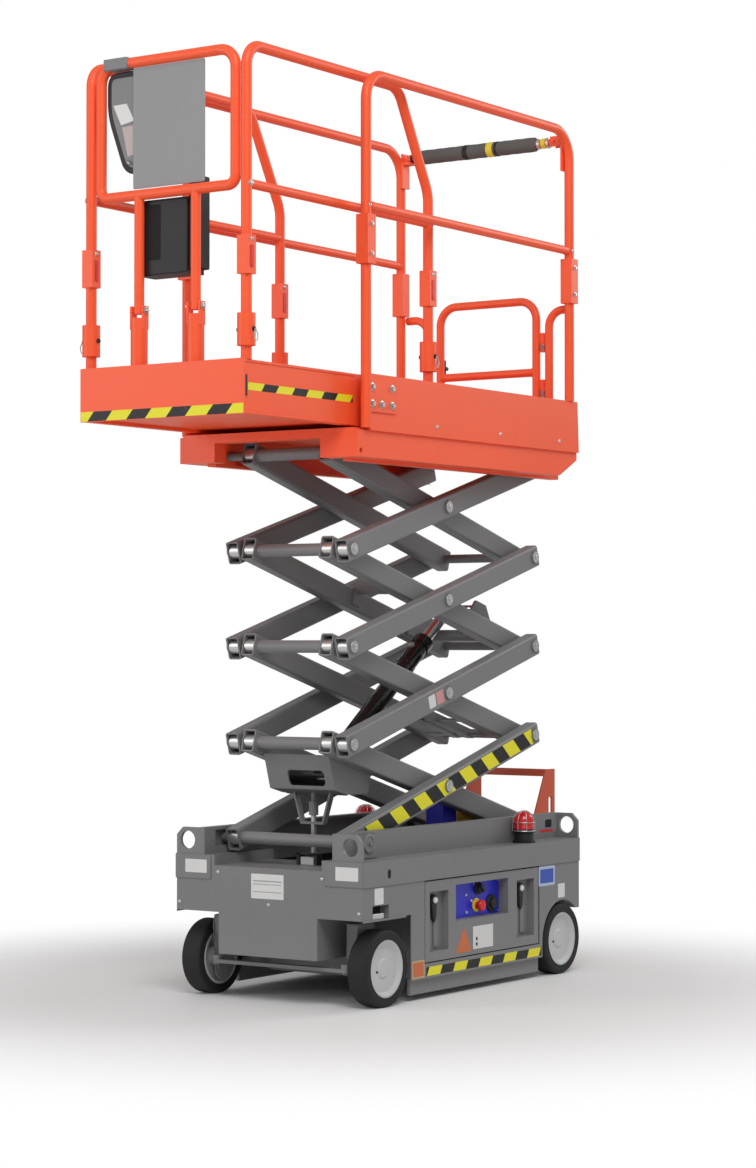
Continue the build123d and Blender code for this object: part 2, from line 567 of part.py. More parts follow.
# ---- chassis ---------------------------------------------------------------
def chassis_frame():
    w = BODY_WALL
    front, rear = X(0), X(CHASSIS_LENGTH)
    well_rear = X(REAR_AXLE - ARCH_R)
    well_front = X(WELL_EDGE)
    skin = side_plate([(front, BODY_TOP - 1), (rear, BODY_TOP - 1), (rear, REAR_BOTTOM),
                       (well_rear, REAR_BOTTOM), (well_rear, BODY_BOTTOM), (well_front, BODY_BOTTOM),
                       (well_front, NOSE_BOTTOM), (front, NOSE_BOTTOM)], -SKIN_Y, SKIN_Y)
    body = skin + block(front, rear, -HALF, HALF, BEAM_LOW, BODY_TOP)
    # hollow: open top between the rails, floor and walls of plate
    body -= block(X(NOSE_LENGTH), well_rear + 2 * w, -HALF + w, HALF - w, BODY_BOTTOM + w, COVER_UNDER)
    body -= block(X(w), X(NOSE_LENGTH + 1), -WELL_INNER_Y + w, WELL_INNER_Y - w, NOSE_BOTTOM + w, COVER_UNDER)
    body -= block(well_rear + 3 * w, rear + w, -REAR_WELL_Y + w, REAR_WELL_Y - w, REAR_BOTTOM + w, COVER_UNDER)
    body -= block(X(COVER_LENGTH), X(CHASSIS_LENGTH - LUG_THICK), -RAIL_INNER_Y, RAIL_INNER_Y,
                  COVER_UNDER - w, BODY_TOP + w)
    body -= block(X(-1), X(NOSE_LENGTH), -RAIL_INNER_Y + 42, RAIL_INNER_Y - 42, COVER_TOP, BODY_TOP + w)
    body -= block(X(SLOT_FRONT), X(COVER_LENGTH + 1), -SLOT_HALF, SLOT_HALF, COVER_UNDER - w, BODY_TOP)
    for sign in (-1, 1):
        y_in, y_out = sign * WELL_INNER_Y, sign * (HALF + 1)
        body -= block(X(-1), X(WELL_EDGE), y_in, y_out, 0, WELL_TOP)
        body -= block(well_front + 1, X(WELL_DEPTH), y_in, sign * (HALF - w), 0, WELL_TOP)
        body -= block(X(NOTCH[0]), X(NOTCH[1]), sign * (HALF - NOTCH_DEPTH), y_out, WELL_TOP - 1, NOTCH_TOP)
        body -= bar_y(X(REAR_AXLE), TYRE_R, ARCH_R, sign * REAR_WELL_Y, y_out)
        body -= block(well_rear, X(CHASSIS_LENGTH + 1), sign * REAR_WELL_Y, y_out, 0, TYRE_R)
        body -= block(X(REAR_AXLE), X(CHASSIS_LENGTH + 1), sign * REAR_WELL_Y, y_out, 0, REAR_CORNER_Z)
        # door opening
        body -= block(X(DOOR_FRONT - DOOR_GAP), X(DOOR_REAR + DOOR_REAR_GAP), sign * (HALF - 50), y_out,
                      DOOR_BOTTOM - DOOR_GAP, DOOR_TOP + DOOR_GAP)
    pieces = [body]
    rail = block(front, rear, RAIL_INNER_Y, RAIL_OUTER_Y, BODY_TOP - 1, RAIL_TOP)
    rail -= block(X(60), X(CHASSIS_LENGTH - LUG_THICK), RAIL_INNER_Y - 1, RAIL_OUTER_Y - RAIL_WALL,
                  PIVOT_Z - ROLLER_R - RUN, PIVOT_Z + ROLLER_R + RUN)
    lug_y = HALF - 4
    lug_in, lug_low = RAIL_OUTER_Y - 1, BODY_TOP - 1
    lug = front_plate([(lug_in, lug_low), (lug_y, lug_low), (lug_y, RAIL_TOP - LUG_CORNER),
                       (lug_y - LUG_CORNER, RAIL_TOP), (lug_in, RAIL_TOP)], 0, LUG_THICK)
    lug -= Pos(0, LUG_HOLE_Y, LUG_HOLE_Z) * Rot(0, 90, 0) * Cylinder(LUG_HOLE_R, 4 * LUG_THICK)
    pieces += both(rail)
    pieces += both(Pos(X(LUG_THICK), 0, 0) * lug)
    pieces += both(Pos(X(CHASSIS_LENGTH), 0, 0) * lug)
    # pivot pins of the first outer arms, with their plates on the rails
    plate_y = RAIL_OUTER_Y + PIVOT_PLATE_THICK
    pieces += both(block(X(PIVOT_PLATE[0]), X(PIVOT_PLATE[1]), RAIL_OUTER_Y - 1, plate_y, *PIVOT_PLATE_Z))
    pieces += both(bar_y(PIVOT_X, PIVOT_Z, PIN_R, OUTER_ARM_Y - ARM_WIDTH - 40, plate_y))
    pieces += both(bar_y(PIVOT_X, PIVOT_Z, HEAD_R, plate_y - 1, plate_y + HEAD_THICK))
    # lugs and pins of the doors
    x_pin, y_pin = X(DOOR_REAR - DOOR_PIN_IN), DOOR_FACE_Y - DOOR_PIN_IN
    below, above = DOOR_BOTTOM - DOOR_GAP, DOOR_TOP + DOOR_GAP
    for pin_ends, lug_ends in (((below - 4, DOOR_BOTTOM + DOOR_PIN_LENGTH), (below - 6, below)),
                               ((DOOR_TOP - DOOR_PIN_LENGTH, above + 4), (above, above + 6))):
        pieces += both(bar_z(x_pin, y_pin, DOOR_PIN_R, *pin_ends))
        pieces += both(block(x_pin - 12, x_pin + 12, y_pin - 10, HALF - w + 1, *lug_ends))
    pieces += both(bar_y(X(REAR_AXLE), TYRE_R, AXLE_R, REAR_WELL_Y - 4, WHEEL_INNER_Y + AXLE_IN_HUB - 2))
    skirt_y = HALF - SKIRT_IN
    pieces += both(block(X(WELL_EDGE + 20), well_rear, skirt_y - SKIRT_THICK, skirt_y,
                         SKIRT_BOTTOM, BODY_BOTTOM + 4))
    return [fuse(pieces)]


def batteries():
    """Two batteries each side behind the doors."""
    length, width, height = BATTERY_SIZE
    middle = (DOOR_FRONT + DOOR_REAR) / 2
    out = []
    for side in (-1, 1):
        for k in (-1, 1):
            x = X(middle + k * (length + BATTERY_GAP) / 2)
            y = side * (HALF - BATTERY_IN - width / 2)
            z = BODY_BOTTOM + BODY_WALL + height / 2
            out.append(Pos(x, y, z) * Box(length, width, height))
    return out


def hydraulic_unit():
    """Motor and valve block that stand on the chassis floor."""
    floor = BODY_BOTTOM + BODY_WALL
    y = (UNIT_Y[0] + UNIT_Y[1]) / 2
    low = UNIT_TOP - UNIT_BLOCK
    motor = bar_z(X((UNIT_BACK[0] + UNIT_BACK[1]) / 2), y, MOTOR_R, floor, low + 1)
    return [motor + block(X(UNIT_BACK[0]), X(UNIT_BACK[1]), *UNIT_Y, low, UNIT_TOP)]


def oil_tank():
    tank = block(X(TANK_BACK[0]), X(TANK_BACK[1]), *UNIT_Y, BODY_BOTTOM + BODY_WALL, TANK_TOP)
    return [fillet(tank.edges().filter_by(Axis.Z), 12)]


def beacons():
    """Warning lights beside the rails, on their bases."""
    x, y = X(BEACON_BACK), (RAIL_OUTER_Y + HALF) / 2
    base = bar_z(x, y, BEACON_R - 3, BODY_TOP, BODY_TOP + BEACON_BASE)
    dome = Pos(x, y, BODY_TOP + BEACON_BASE + BEACON_DOME - BEACON_R) * Sphere(BEACON_R)
    dome += bar_z(x, y, BEACON_R, BODY_TOP + BEACON_BASE, BODY_TOP + BEACON_BASE + BEACON_DOME - BEACON_R)
    lamp = dome + base
    return both(lamp)


def side_door(side):
    y0, y1 = DOOR_FACE_Y - DOOR_THICK, DOOR_FACE_Y
    hem = 8
    door = block(X(DOOR_FRONT), X(DOOR_REAR), y0, y1, DOOR_BOTTOM, DOOR_TOP)
    door -= block(X(DOOR_FRONT + hem), X(DOOR_REAR - hem), y0 - 1, y1 - DOOR_SHEET,
                  DOOR_BOTTOM + hem, DOOR_TOP - hem)
    for x0, x1 in DOOR_RECESSES:
        z0, z1 = DOOR_RECESS_Z
        door += block(X(x0 - 4), X(x1 + 4), y0, y1, z0 - 4, z1 + 4)
        door -= block(X(x0), X(x1), y1 - DOOR_RECESS_DEPTH, y1 + 1, z0, z1)
    if side > 0:
        # pocket of the ground controls
        wall = POCKET_WALL
        bottom = y1 - POCKET_DEPTH
        door += block(X(PANEL[0] - wall), X(PANEL[1] + wall), bottom - wall, y1,
                      PANEL_Z[0] - wall, PANEL_Z[1] + wall)
        door -= block(X(PANEL[0]), X(PANEL[1]), bottom, y1 + 1, *PANEL_Z)
    x_pin, y_pin = X(DOOR_REAR - DOOR_PIN_IN), DOOR_FACE_Y - DOOR_PIN_IN
    depth = DOOR_PIN_LENGTH + RUN
    door -= bar_z(x_pin, y_pin, DOOR_PIN_R + RUN, DOOR_BOTTOM - 1, DOOR_BOTTOM + depth)
    door -= bar_z(x_pin, y_pin, DOOR_PIN_R + RUN, DOOR_TOP - depth, DOOR_TOP + 1)
    return [door if side > 0 else other_side(door)]


def control_panel():
    """Plate of the ground controls, on the back of the left door's pocket."""
    y = DOOR_FACE_Y - POCKET_DEPTH
    return [block(X(PANEL[0] + RUN), X(PANEL[1] - RUN), y, y + PANEL_THICK, PANEL_Z[0] + RUN, PANEL_Z[1] - RUN)]


def entry_step():
    """Step frame behind the rear end of the chassis."""
    rear, wall = X(STEP_REAR), X(CHASSIS_LENGTH)
    shape = [(wall, STEP_BOTTOM), (wall, STEP_SEAT_TOP), (rear + STEP_TOP_LENGTH, STEP_TOP),
             (rear, STEP_TOP), (rear, STEP_BOTTOM)]
    inside = STEP_HALF - STEP_PLATE
    plate = side_plate(shape, inside, STEP_HALF)
    for z in STEP_SLOTS:
        x0, x1 = rear + STEP_SLOT_WIDTH, rear + 2 * STEP_SLOT_WIDTH
        r = STEP_SLOT_WIDTH / 2
        plate -= block(x0, x1, 0, STEP_HALF + 1, z, z + STEP_SLOT_LENGTH - r)
        plate -= bar_y((x0 + x1) / 2, z + STEP_SLOT_LENGTH - r, r, 0, STEP_HALF + 1)
    pieces = both(plate)
    across = (1 - STEP_HALF, STEP_HALF - 1)
    for z in (STEP_BOTTOM + 2, STEP_UPPER):
        pieces.append(block(rear, wall - 12, *across, z, z + STEP_TREAD))
    lip = rear + STEP_TOP_LENGTH
    pieces.append(block(lip - STEP_TREAD, lip, *across, STEP_TOP - STEP_TREAD, STEP_TOP))
    return [fuse(pieces)]


# ---- wheels and steering ---------------------------------------------------
def turned(profile):
    """Solid turned about the Y axis from points of radius and y."""
    return revolve(make_face(Polyline(*profile, close=True)), axis=Axis.Y)


def on_axle(shape, back, side):
    wheel = Pos(X(back), 0, TYRE_R) * shape
    return [wheel if side > 0 else other_side(wheel)]


def tyre(back, side):
    ring = bar_y(0, 0, TYRE_R, WHEEL_INNER_Y, WHEEL_OUTER_Y)
    ring = fillet(ring.edges().filter_by(GeomType.CIRCLE), TYRE_ROUND)
    ring -= bar_y(0, 0, RIM_R, 0, WHEEL_OUTER_Y + 1)
    return on_axle(ring, back, side)


def rim(back, side):
    """Dished disc with a rolled lip, bored for the axle from the inside."""
    y_in, y_out = WHEEL_INNER_Y + 2, WHEEL_OUTER_Y - 2
    edge = RIM_R - RUN
    face = y_out - RIM_DISH
    bore = AXLE_R + RUN
    disc = turned([(0, face + 4), (HUB_R - 6, face + 4), (HUB_R, face), (edge - 3 * RIM_LIP, face + 2),
                   (edge - RIM_LIP, y_out), (edge, y_out), (edge, y_in), (edge - 10, y_in),
                   (edge - 10, y_in + 26), (HUB_R, y_in + 32), (HUB_R, y_in), (bore, y_in),
                   (bore, y_in + AXLE_IN_HUB), (0, y_in + AXLE_IN_HUB)])
    return on_axle(disc, back, side)


def knuckle(side):
    x = X(FRONT_AXLE)
    y_hub = WHEEL_INNER_Y - 8
    yoke = WELL_TOP - 64
    reach = 40
    arm_z = TIE_Z + TIE_THICK / 2 + RUN
    pin = bar_z(x, KINGPIN_Y, KINGPIN_R, arm_z, WELL_TOP - RUN)
    plate = block(x - reach, x + reach, KINGPIN_Y - 20, y_hub, yoke, yoke + 15)
    drop = block(x - reach, x + reach, y_hub - 12, y_hub, TYRE_R - reach, yoke + 15)
    spindle = bar_y(x, TYRE_R, AXLE_R, y_hub - 6, y_hub + AXLE_IN_HUB)
    x_tie = x + STEER_ARM
    arm = block(x - 20, x_tie, KINGPIN_Y - TIE_EYE_R, KINGPIN_Y + TIE_EYE_R, arm_z, arm_z + STEER_PLATE)
    arm += bar_z(x_tie, KINGPIN_Y, TIE_EYE_R, arm_z, arm_z + STEER_PLATE)
    low = TIE_Z - TIE_THICK / 2 - RUN
    arm += bar_z(x_tie, KINGPIN_Y, TIE_PIN_R, low - 5, arm_z + 1)
    arm += bar_z(x_tie, KINGPIN_Y, TIE_PIN_R + 5, low - 5, low)
    piece = fuse([pin, plate, drop, spindle, arm])
    return [piece if side > 0 else other_side(piece)]


def tie_rod():
    """Flat bar between the steering arms, with a bored eye at each end."""
    x = X(FRONT_AXLE) + STEER_ARM
    z0, z1 = TIE_Z - TIE_THICK / 2, TIE_Z + TIE_THICK / 2
    bar = block(x - 15, x + 15, -KINGPIN_Y, KINGPIN_Y, z0, z1)
    for y in (-KINGPIN_Y, KINGPIN_Y):
        bar += bar_z(x, y, TIE_EYE_R, z0, z1)
        bar -= bar_z(x, y, TIE_PIN_R + RUN, z0 - 1, z1 + 1)
    return [bar]


# ---- platform --------------------------------------------------------------
def platform_frame():
    half = DECK_WIDTH / 2
    inside = half - WALL_THICK
    top = DECK_UNDER
    floor = block(X(BEAM_FRONT), X(DECK_REAR), -inside, inside, top, DECK_FLOOR_Z)
    wall = side_plate([(X(DECK_FRONT), top), (X(DECK_FRONT), WALL_TOP), (X(DECK_REAR - 10), WALL_TOP),
                       (X(DECK_REAR), top)], inside, half)
    cx, cz = BEAM_CHAMFER
    side = side_plate([(X(BEAM_FRONT), BEAM_BOTTOM), (X(BEAM_FRONT), top), (X(DECK_REAR), top),
                       (X(DECK_REAR), BEAM_BOTTOM + cz), (X(DECK_REAR - cx), BEAM_BOTTOM)],
                      RAIL_OUTER_Y - 1, BEAM_Y)
    side -= bar_y(PIVOT_X, TOP_Z, PIN_R + RUN, RAIL_OUTER_Y - 3, RAIL_OUTER_Y + 2)
    back, above, radius = BEAM_HOLE
    side -= bar_y(X(back), BEAM_BOTTOM + above, radius, BEAM_Y - 25, BEAM_Y + 1)
    track = block(X(60), X(DECK_REAR - 20), RAIL_INNER_Y, RAIL_OUTER_Y, TOP_Z - TRACK_DEPTH, top)
    track -= block(X(170), X(DECK_REAR - 22), RAIL_INNER_Y - 1, RAIL_OUTER_Y - RAIL_WALL,
                   TOP_Z - ROLLER_R - RUN, TOP_Z + ROLLER_R + RUN)
    track -= bar_y(PIVOT_X, TOP_Z, PIN_R + RUN, RAIL_INNER_Y - 1, RAIL_OUTER_Y + 2)
    front = block(X(BEAM_FRONT), X(BEAM_DEPTH), -RAIL_OUTER_Y, RAIL_OUTER_Y, BEAM_BOTTOM, top)
    window, bar = BEAM_WINDOW
    front -= block(X(BEAM_FRONT - 1), X(BEAM_DEPTH + 1), -window, window, BEAM_BOTTOM - 1, top - bar + 7)
    rear = block(X(DECK_REAR - 24), X(DECK_REAR), -RAIL_OUTER_Y, RAIL_OUTER_Y, BEAM_BOTTOM + cz, top)
    toe = block(X(DECK_REAR - 2 - TOE_THICK), X(DECK_REAR - 2), -inside, inside, top, DECK_FLOOR_Z + TOE_HEIGHT)
    return [fuse([floor, front, rear, toe] + both(wall) + both(side) + both(track))]


def square_sleeve(x, y, width, ends):
    return block(x - width / 2, x + width / 2, y - width / 2, y + width / 2, *ends)


def main_rail(side):
    y = MAIN_RAIL_Y
    front, rear = X(MAIN_POSTS[0]), X(MAIN_POSTS[1])
    loop = bent_tube([(front, y, DECK_FLOOR_Z), (front, y, RAIL_TOP_Z), (rear, y, RAIL_TOP_Z),
                      (rear, y, WALL_TOP + RUN)], list(MAIN_BENDS), TUBE)
    mid = straight((front, y, RAIL_MID_Z), (rear, y, RAIL_MID_Z), MID_TUBE / 2)
    pieces = [loop, mid]
    for x in (front, rear):
        pieces.append(square_sleeve(x, y, SLEEVE, SLEEVE_Z))
    wall = DECK_WIDTH / 2
    pieces.append(block(X(BOLT_PLATE[0]), X(BOLT_PLATE[1]), wall + RUN, wall + BOLT_PLATE_THICK, *BOLT_PLATE_Z))
    # web behind the padded bar's end, with a fork on the left and a cradle on the right
    web_y = y - TUBE / 2 + 1
    x = X(BAR_BACK)
    reach = MID_TUBE / 2 + FORK_GAP
    outside = reach + FORK_PLATE
    pieces.append(block(x - outside, x + outside, web_y - 8, web_y, BAR_Z - WEB_DEPTH, BAR_Z + FORK_HALF))
    if side > 0:
        for sign in (-1, 1):
            pieces.append(block(x + sign * reach, x + sign * outside, BAR_PIVOT_Y - BAR_END, web_y - 4,
                                BAR_Z - FORK_HALF, BAR_Z + FORK_HALF))
        pieces.append(Pos(x, BAR_PIVOT_Y, BAR_Z) * Rot(0, 90, 0) * Cylinder(BAR_PIN_R, 2 * outside + 10))
        return [fuse(pieces)]
    under = BAR_Z - MID_TUBE / 2 - RUN
    pieces.append(block(x - outside, x + outside, -BAR_FAR_Y - 22, web_y - 4, under - CRADLE, under))
    return [other_side(fuse(pieces))]


def hinge_knuckle(x, y, z0, z1, y_to):
    """Hinge barrel on a vertical axis with its leaf to the tube at y_to."""
    leaf = block(x - HINGE_LEAF / 2, x + HINGE_LEAF / 2, y, y_to, z0, z1)
    return bar_z(x, y, HINGE_R, z0, z1) + leaf


def gate_post(side):
    """Bent post beside the rear gate, from the main rail down to the floor."""
    x = X(GATE_BACK)
    post = bent_tube([(x, HINGE_POST_Y, DECK_FLOOR_Z), (x, HINGE_POST_Y, GATE_POST_TOP),
                      (x, MAIN_RAIL_Y - 10, GATE_POST_TOP)], [GATE_POST_BEND], MID_TUBE)
    if side < 0:
        return [other_side(post)]
    for z in GATE_HINGES:
        post += hinge_knuckle(x, GATE_HINGE_Y, z - HINGE_HALF, z, HINGE_POST_Y)
        post += bar_z(x, GATE_HINGE_Y, HINGE_PIN_R, z - 1, z + HINGE_HALF - 1)
    return [post]


def gate():
    x = X(GATE_BACK)
    h = GATE_HALF
    low, high = GATE_BENDS
    loop = bent_tube([(x, 0, GATE_BOTTOM), (x, -h, GATE_BOTTOM), (x, -h, GATE_TOP), (x, h, GATE_TOP),
                      (x, h, GATE_BOTTOM), (x, 1, GATE_BOTTOM)], [low, high, high, low], MID_TUBE)
    mid = straight((x, -h, GATE_MID), (x, h, GATE_MID), MID_TUBE / 2)
    frame = loop + mid
    for z in GATE_HINGES:
        frame += hinge_knuckle(x, GATE_HINGE_Y, z + RUN, z + HINGE_HALF, h)
        frame -= bar_z(x, GATE_HINGE_Y, HINGE_PIN_R + RUN, z - 1, z + HINGE_HALF + 1)
    return [frame]


def drop_bar():
    x = X(BAR_BACK)
    bar = bar_y(x, BAR_Z, MID_TUBE / 2, BAR_FAR_Y, BAR_PIVOT_Y + BAR_END)
    bar -= Pos(x, BAR_PIVOT_Y, BAR_Z) * Rot(0, 90, 0) * Cylinder(BAR_PIN_R + RUN, 2 * MID_TUBE)
    return [bar]


def drop_bar_foam():
    x = X(BAR_BACK)
    foam = bar_y(x, BAR_Z, FOAM_R, BAR_FAR_Y + FOAM_ENDS[0], BAR_PIVOT_Y - FOAM_ENDS[1])
    foam -= bar_y(x, BAR_Z, MID_TUBE / 2, BAR_FAR_Y, BAR_PIVOT_Y)
    return [foam]


# ---- roll-out deck ---------------------------------------------------------
def extension_deck():
    y = EXT_WALL_Y
    front_x, rear_x = X(EXT_PLATE - DECK_REACH), X(EXT_REAR)
    wall = block(front_x, rear_x, y - EXT_WALL, y, EXT_BOTTOM, WALL_TOP)
    floor = block(front_x, rear_x, -y, y, EXT_FLOOR_Z - EXT_FLOOR, EXT_FLOOR_Z)
    front = block(X(-DECK_REACH), front_x, -EXT_WIDTH / 2, EXT_WIDTH / 2, EXT_BOTTOM, WALL_TOP + 2)
    pad = block(X(EXT_REAR - EXT_PAD), rear_x, y - EXT_WALL, y, DECK_FLOOR_Z + RUN, EXT_BOTTOM + 1)
    pieces = [floor, front] + both(wall) + both(pad)
    x = X(EXT_POST_FRONT)
    for sign in (-1, 1):
        yl = sign * FRONT_LEG_Y
        pieces.append(bar_z(x, yl, SOCKET_R, EXT_FLOOR_Z - 2, FRONT_HINGE_Z - SOCKET_DROP))
        for e in (-1, 1):
            ye = yl + e * (TUBE / 2 + 6.5)
            pieces.append(block(x - 14, x + 14, ye - 3, ye + 3, FRONT_HINGE_Z - 60, FRONT_HINGE_Z + 14))
        pieces.append(bar_y(x, FRONT_HINGE_Z, FRONT_HINGE_R, yl - SOCKET_R, yl + SOCKET_R))
    return [fuse(pieces)]


def extension_rail(side):
    y = EXT_RAIL_Y
    front, rear = X(EXT_POST_FRONT), X(EXT_POST_REAR)
    slant_x, slant_z = X(EXT_SLANT[0]), EXT_SLANT[1]
    foot = WALL_TOP + RUN
    loop = bent_tube([(front, y, foot), (front, y, RAIL_TOP_Z), (slant_x, y, RAIL_TOP_Z),
                      (rear, y, slant_z), (rear, y, foot)], list(EXT_BENDS), TUBE)
    mid = straight((front, y, RAIL_MID_Z), (rear, y, RAIL_MID_Z), MID_TUBE / 2)
    pieces = [loop, mid]
    for x in (front, rear):
        pieces.append(square_sleeve(x, y, EXT_SLEEVE, EXT_SLEEVE_Z))
        pieces.append(bar_z(x, y, EXT_SOCKET_R, *EXT_SOCKET_Z))
    rail = fuse(pieces)
    return [rail if side > 0 else other_side(rail)]


def front_loop(diameter):
    """Closed loop of the front guardrail, made of two mirrored halves."""
    x = X(EXT_POST_FRONT)
    h = FRONT_LOOP_Y
    low, top = RAIL_MID_Z, FRONT_LOOP_TOP
    half = bent_tube([(x, 0, low), (x, h, low), (x, h, top), (x, 0, top)], list(FRONT_BENDS), diameter)
    return fuse(both(half))


def front_rail():
    x = X(EXT_POST_FRONT)
    low = RAIL_MID_Z
    loop = front_loop(TUBE)
    for sign in (-1, 1):
        yl = sign * FRONT_LEG_Y
        loop += bar_z(x, yl, FRONT_LEG_R, FRONT_HINGE_Z - 2 * FRONT_HINGE_R, low)
        loop -= bar_y(x, FRONT_HINGE_Z, FRONT_HINGE_R + RUN, yl - 30, yl + 30)
    return [loop]


def control_shield():
    """Plate in the front guardrail's loop, in front of the controls."""
    x = X(EXT_POST_FRONT)
    t = SHIELD_THICK / 2
    return [block(x - t, x + t, *SHIELD_Y, RAIL_MID_Z + TUBE / 2 + RUN, FRONT_LOOP_TOP - TUBE / 2 - RUN)]


def control_console():
    """Control box with a sloped top, hung on the loop's top tube by a clamp."""
    tube_x = X(EXT_POST_FRONT)
    x = tube_x - SHIELD_THICK / 2 - RUN
    low, high = CONSOLE_Z
    run, drop = CONSOLE_SLOPE
    box = side_plate([(x, low), (x, high), (x - run, high), (x - CONSOLE_DEPTH, high - drop),
                      (x - CONSOLE_DEPTH, low)], *CONSOLE_Y)
    reach = TUBE / 2 + CLAMP_WALL
    clamp = block(tube_x - reach, tube_x + reach, *CLAMP_Y, high - CLAMP_WALL, FRONT_LOOP_TOP + reach)
    clamp -= front_loop(TUBE + 2 * RUN)
    return [box + clamp]


def document_box():
    x = X(EXT_POST_FRONT) - FRONT_LEG_R - RUN
    y0, y1 = DOC_Y
    w = DOC_WALL
    box = block(x - DOC_DEPTH, x, y0, y1, DOC_BOTTOM, DOC_TOP)
    box -= block(x - DOC_DEPTH + w, x - w, y0 + w, y1 - w, DOC_BOTTOM + 6, DOC_TOP + 1)
    return [box]


# ---- nodes -----------------------------------------------------------------
def nodes():
    made = {
        "chassis_frame": chassis_frame(),
        "batteries": batteries(),
        "hydraulic_unit": hydraulic_unit(),
        "oil_tank": oil_tank(),
        "beacons": beacons(),
        "side_door_left": side_door(1),
        "side_door_right": side_door(-1),
        "control_panel": control_panel(),
        "entry_step": entry_step(),
        "knuckle_left": knuckle(1),
        "knuckle_right": knuckle(-1),
        "tie_rod": tie_rod(),
        "cylinder_bracket": cylinder_bracket(),
        "eye_bracket": eye_bracket(),
        "hose_tray_2": hose_tray_2(),
        "hose_tray_3": hose_tray_3(),
        "cylinder_barrel": cylinder_barrel(),
        "cylinder_rod": cylinder_rod(),
        "platform_frame": platform_frame(),
        "main_rail_left": main_rail(1),
        "main_rail_right": main_rail(-1),
        "gate_post_left": gate_post(1),
        "gate_post_right": gate_post(-1),
        "gate": gate(),
        "drop_bar": drop_bar(),
        "drop_bar_foam": drop_bar_foam(),
        "extension_deck": extension_deck(),
        "extension_rail_left": extension_rail(1),
        "extension_rail_right": extension_rail(-1),
        "front_rail": front_rail(),
        "control_shield": control_shield(),
        "control_console": control_console(),
        "document_box": document_box(),
    }
    for name, back, side in (("front_left", FRONT_AXLE, 1), ("front_right", FRONT_AXLE, -1),
                             ("rear_left", REAR_AXLE, 1), ("rear_right", REAR_AXLE, -1)):
        made["tyre_" + name] = tyre(back, side)
        made["rim_" + name] = rim(back, side)
    for level in range(LEVELS):
        made["outer_arms_%d" % (level + 1)] = outer_arms(level)
        made["inner_arms_%d" % (level + 1)] = inner_arms(level)
    return made


os.makedirs("parts", exist_ok=True)
for name, solids in nodes().items():
    shape = solids[0] if len(solids) == 1 else Compound(children=list(solids))
    export_step(shape, "parts/" + name + ".step")
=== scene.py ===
"""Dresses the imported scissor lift: finishes for the CAD pieces, and the small things on them.

Metres throughout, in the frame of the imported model: +X towards the steered wheels,
+Y to the machine's left, +Z up, z = 0 on the floor.
"""
import json
import math

import bmesh
import bpy
import numpy as np
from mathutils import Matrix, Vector


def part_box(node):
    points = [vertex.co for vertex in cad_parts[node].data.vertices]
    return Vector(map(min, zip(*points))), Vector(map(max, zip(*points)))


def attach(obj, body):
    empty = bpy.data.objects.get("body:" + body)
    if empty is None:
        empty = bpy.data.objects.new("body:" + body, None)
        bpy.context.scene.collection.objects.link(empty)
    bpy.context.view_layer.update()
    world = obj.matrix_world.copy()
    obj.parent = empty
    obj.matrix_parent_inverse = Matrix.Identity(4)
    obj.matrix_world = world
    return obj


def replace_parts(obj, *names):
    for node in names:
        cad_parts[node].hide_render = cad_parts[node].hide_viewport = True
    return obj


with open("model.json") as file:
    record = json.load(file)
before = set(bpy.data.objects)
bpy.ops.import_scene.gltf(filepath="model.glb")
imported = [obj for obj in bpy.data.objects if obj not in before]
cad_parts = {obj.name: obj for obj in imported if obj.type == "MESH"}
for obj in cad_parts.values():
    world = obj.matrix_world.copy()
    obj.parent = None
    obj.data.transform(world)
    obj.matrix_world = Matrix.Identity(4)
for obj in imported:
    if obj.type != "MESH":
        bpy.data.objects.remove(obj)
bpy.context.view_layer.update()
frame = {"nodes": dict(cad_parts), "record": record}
joints = {joint["name"]: joint for joint in frame["record"]["behaviour"]["joints"]}

X_AXIS, Y_AXIS, Z_AXIS = np.eye(3)
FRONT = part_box("chassis_frame")[1][0]       # x of the chassis front
LEVELS = 4
SIDES = {"left": 1.0, "right": -1.0}


def back(distance):
    """x of a point given by its distance behind the chassis front."""
    return FRONT - distance


def joint_place(name):
    return np.array(joints[name]["pos_m"])


# ---- shapes: each is (points, faces) ----------------------------------------
def joined(*shapes):
    """One shape of several: the points are stacked and the faces renumbered."""
    points, faces, start = [], [], 0
    for shape_points, shape_faces in shapes:
        points.append(shape_points)
        faces += [[index + start for index in face] for face in shape_faces]
        start += len(shape_points)
    return np.concatenate(points), faces


def skin(rings, closed=False):
    """Quads between the rings of an (n, m, 3) grid of points.

    The first and last ring are capped by one face each, or joined to each other when closed.
    """
    n, m = rings.shape[:2]
    row = np.arange(n if closed else n - 1)[:, None]
    column = np.arange(m)[None, :]
    below, after = (row + 1) % n * m, (column + 1) % m
    row = row * m
    quads = np.stack([row + column, row + after, below + after, below + column], -1)
    faces = quads.reshape(-1, 4).tolist()
    if not closed:
        faces += [list(range(m))[::-1], list(range((n - 1) * m, n * m))]
    return rings.reshape(-1, 3), faces


def circle(axis, sides):
    """Angles round an axis, and its unit vector with the unit spokes square to it at those angles.

    Spoke = cos a * p + sin a * q, where p, q and the axis are square to each other.
    """
    axis = np.asarray(axis, float) / np.linalg.norm(axis)
    p = np.cross(axis, Z_AXIS if abs(axis[2]) < 0.9 else X_AXIS)
    p /= np.linalg.norm(p)
    q = np.cross(axis, p)
    a = np.linspace(0, 2 * math.pi, sides, endpoint=False)
    return a, axis, np.cos(a)[:, None] * p + np.sin(a)[:, None] * q


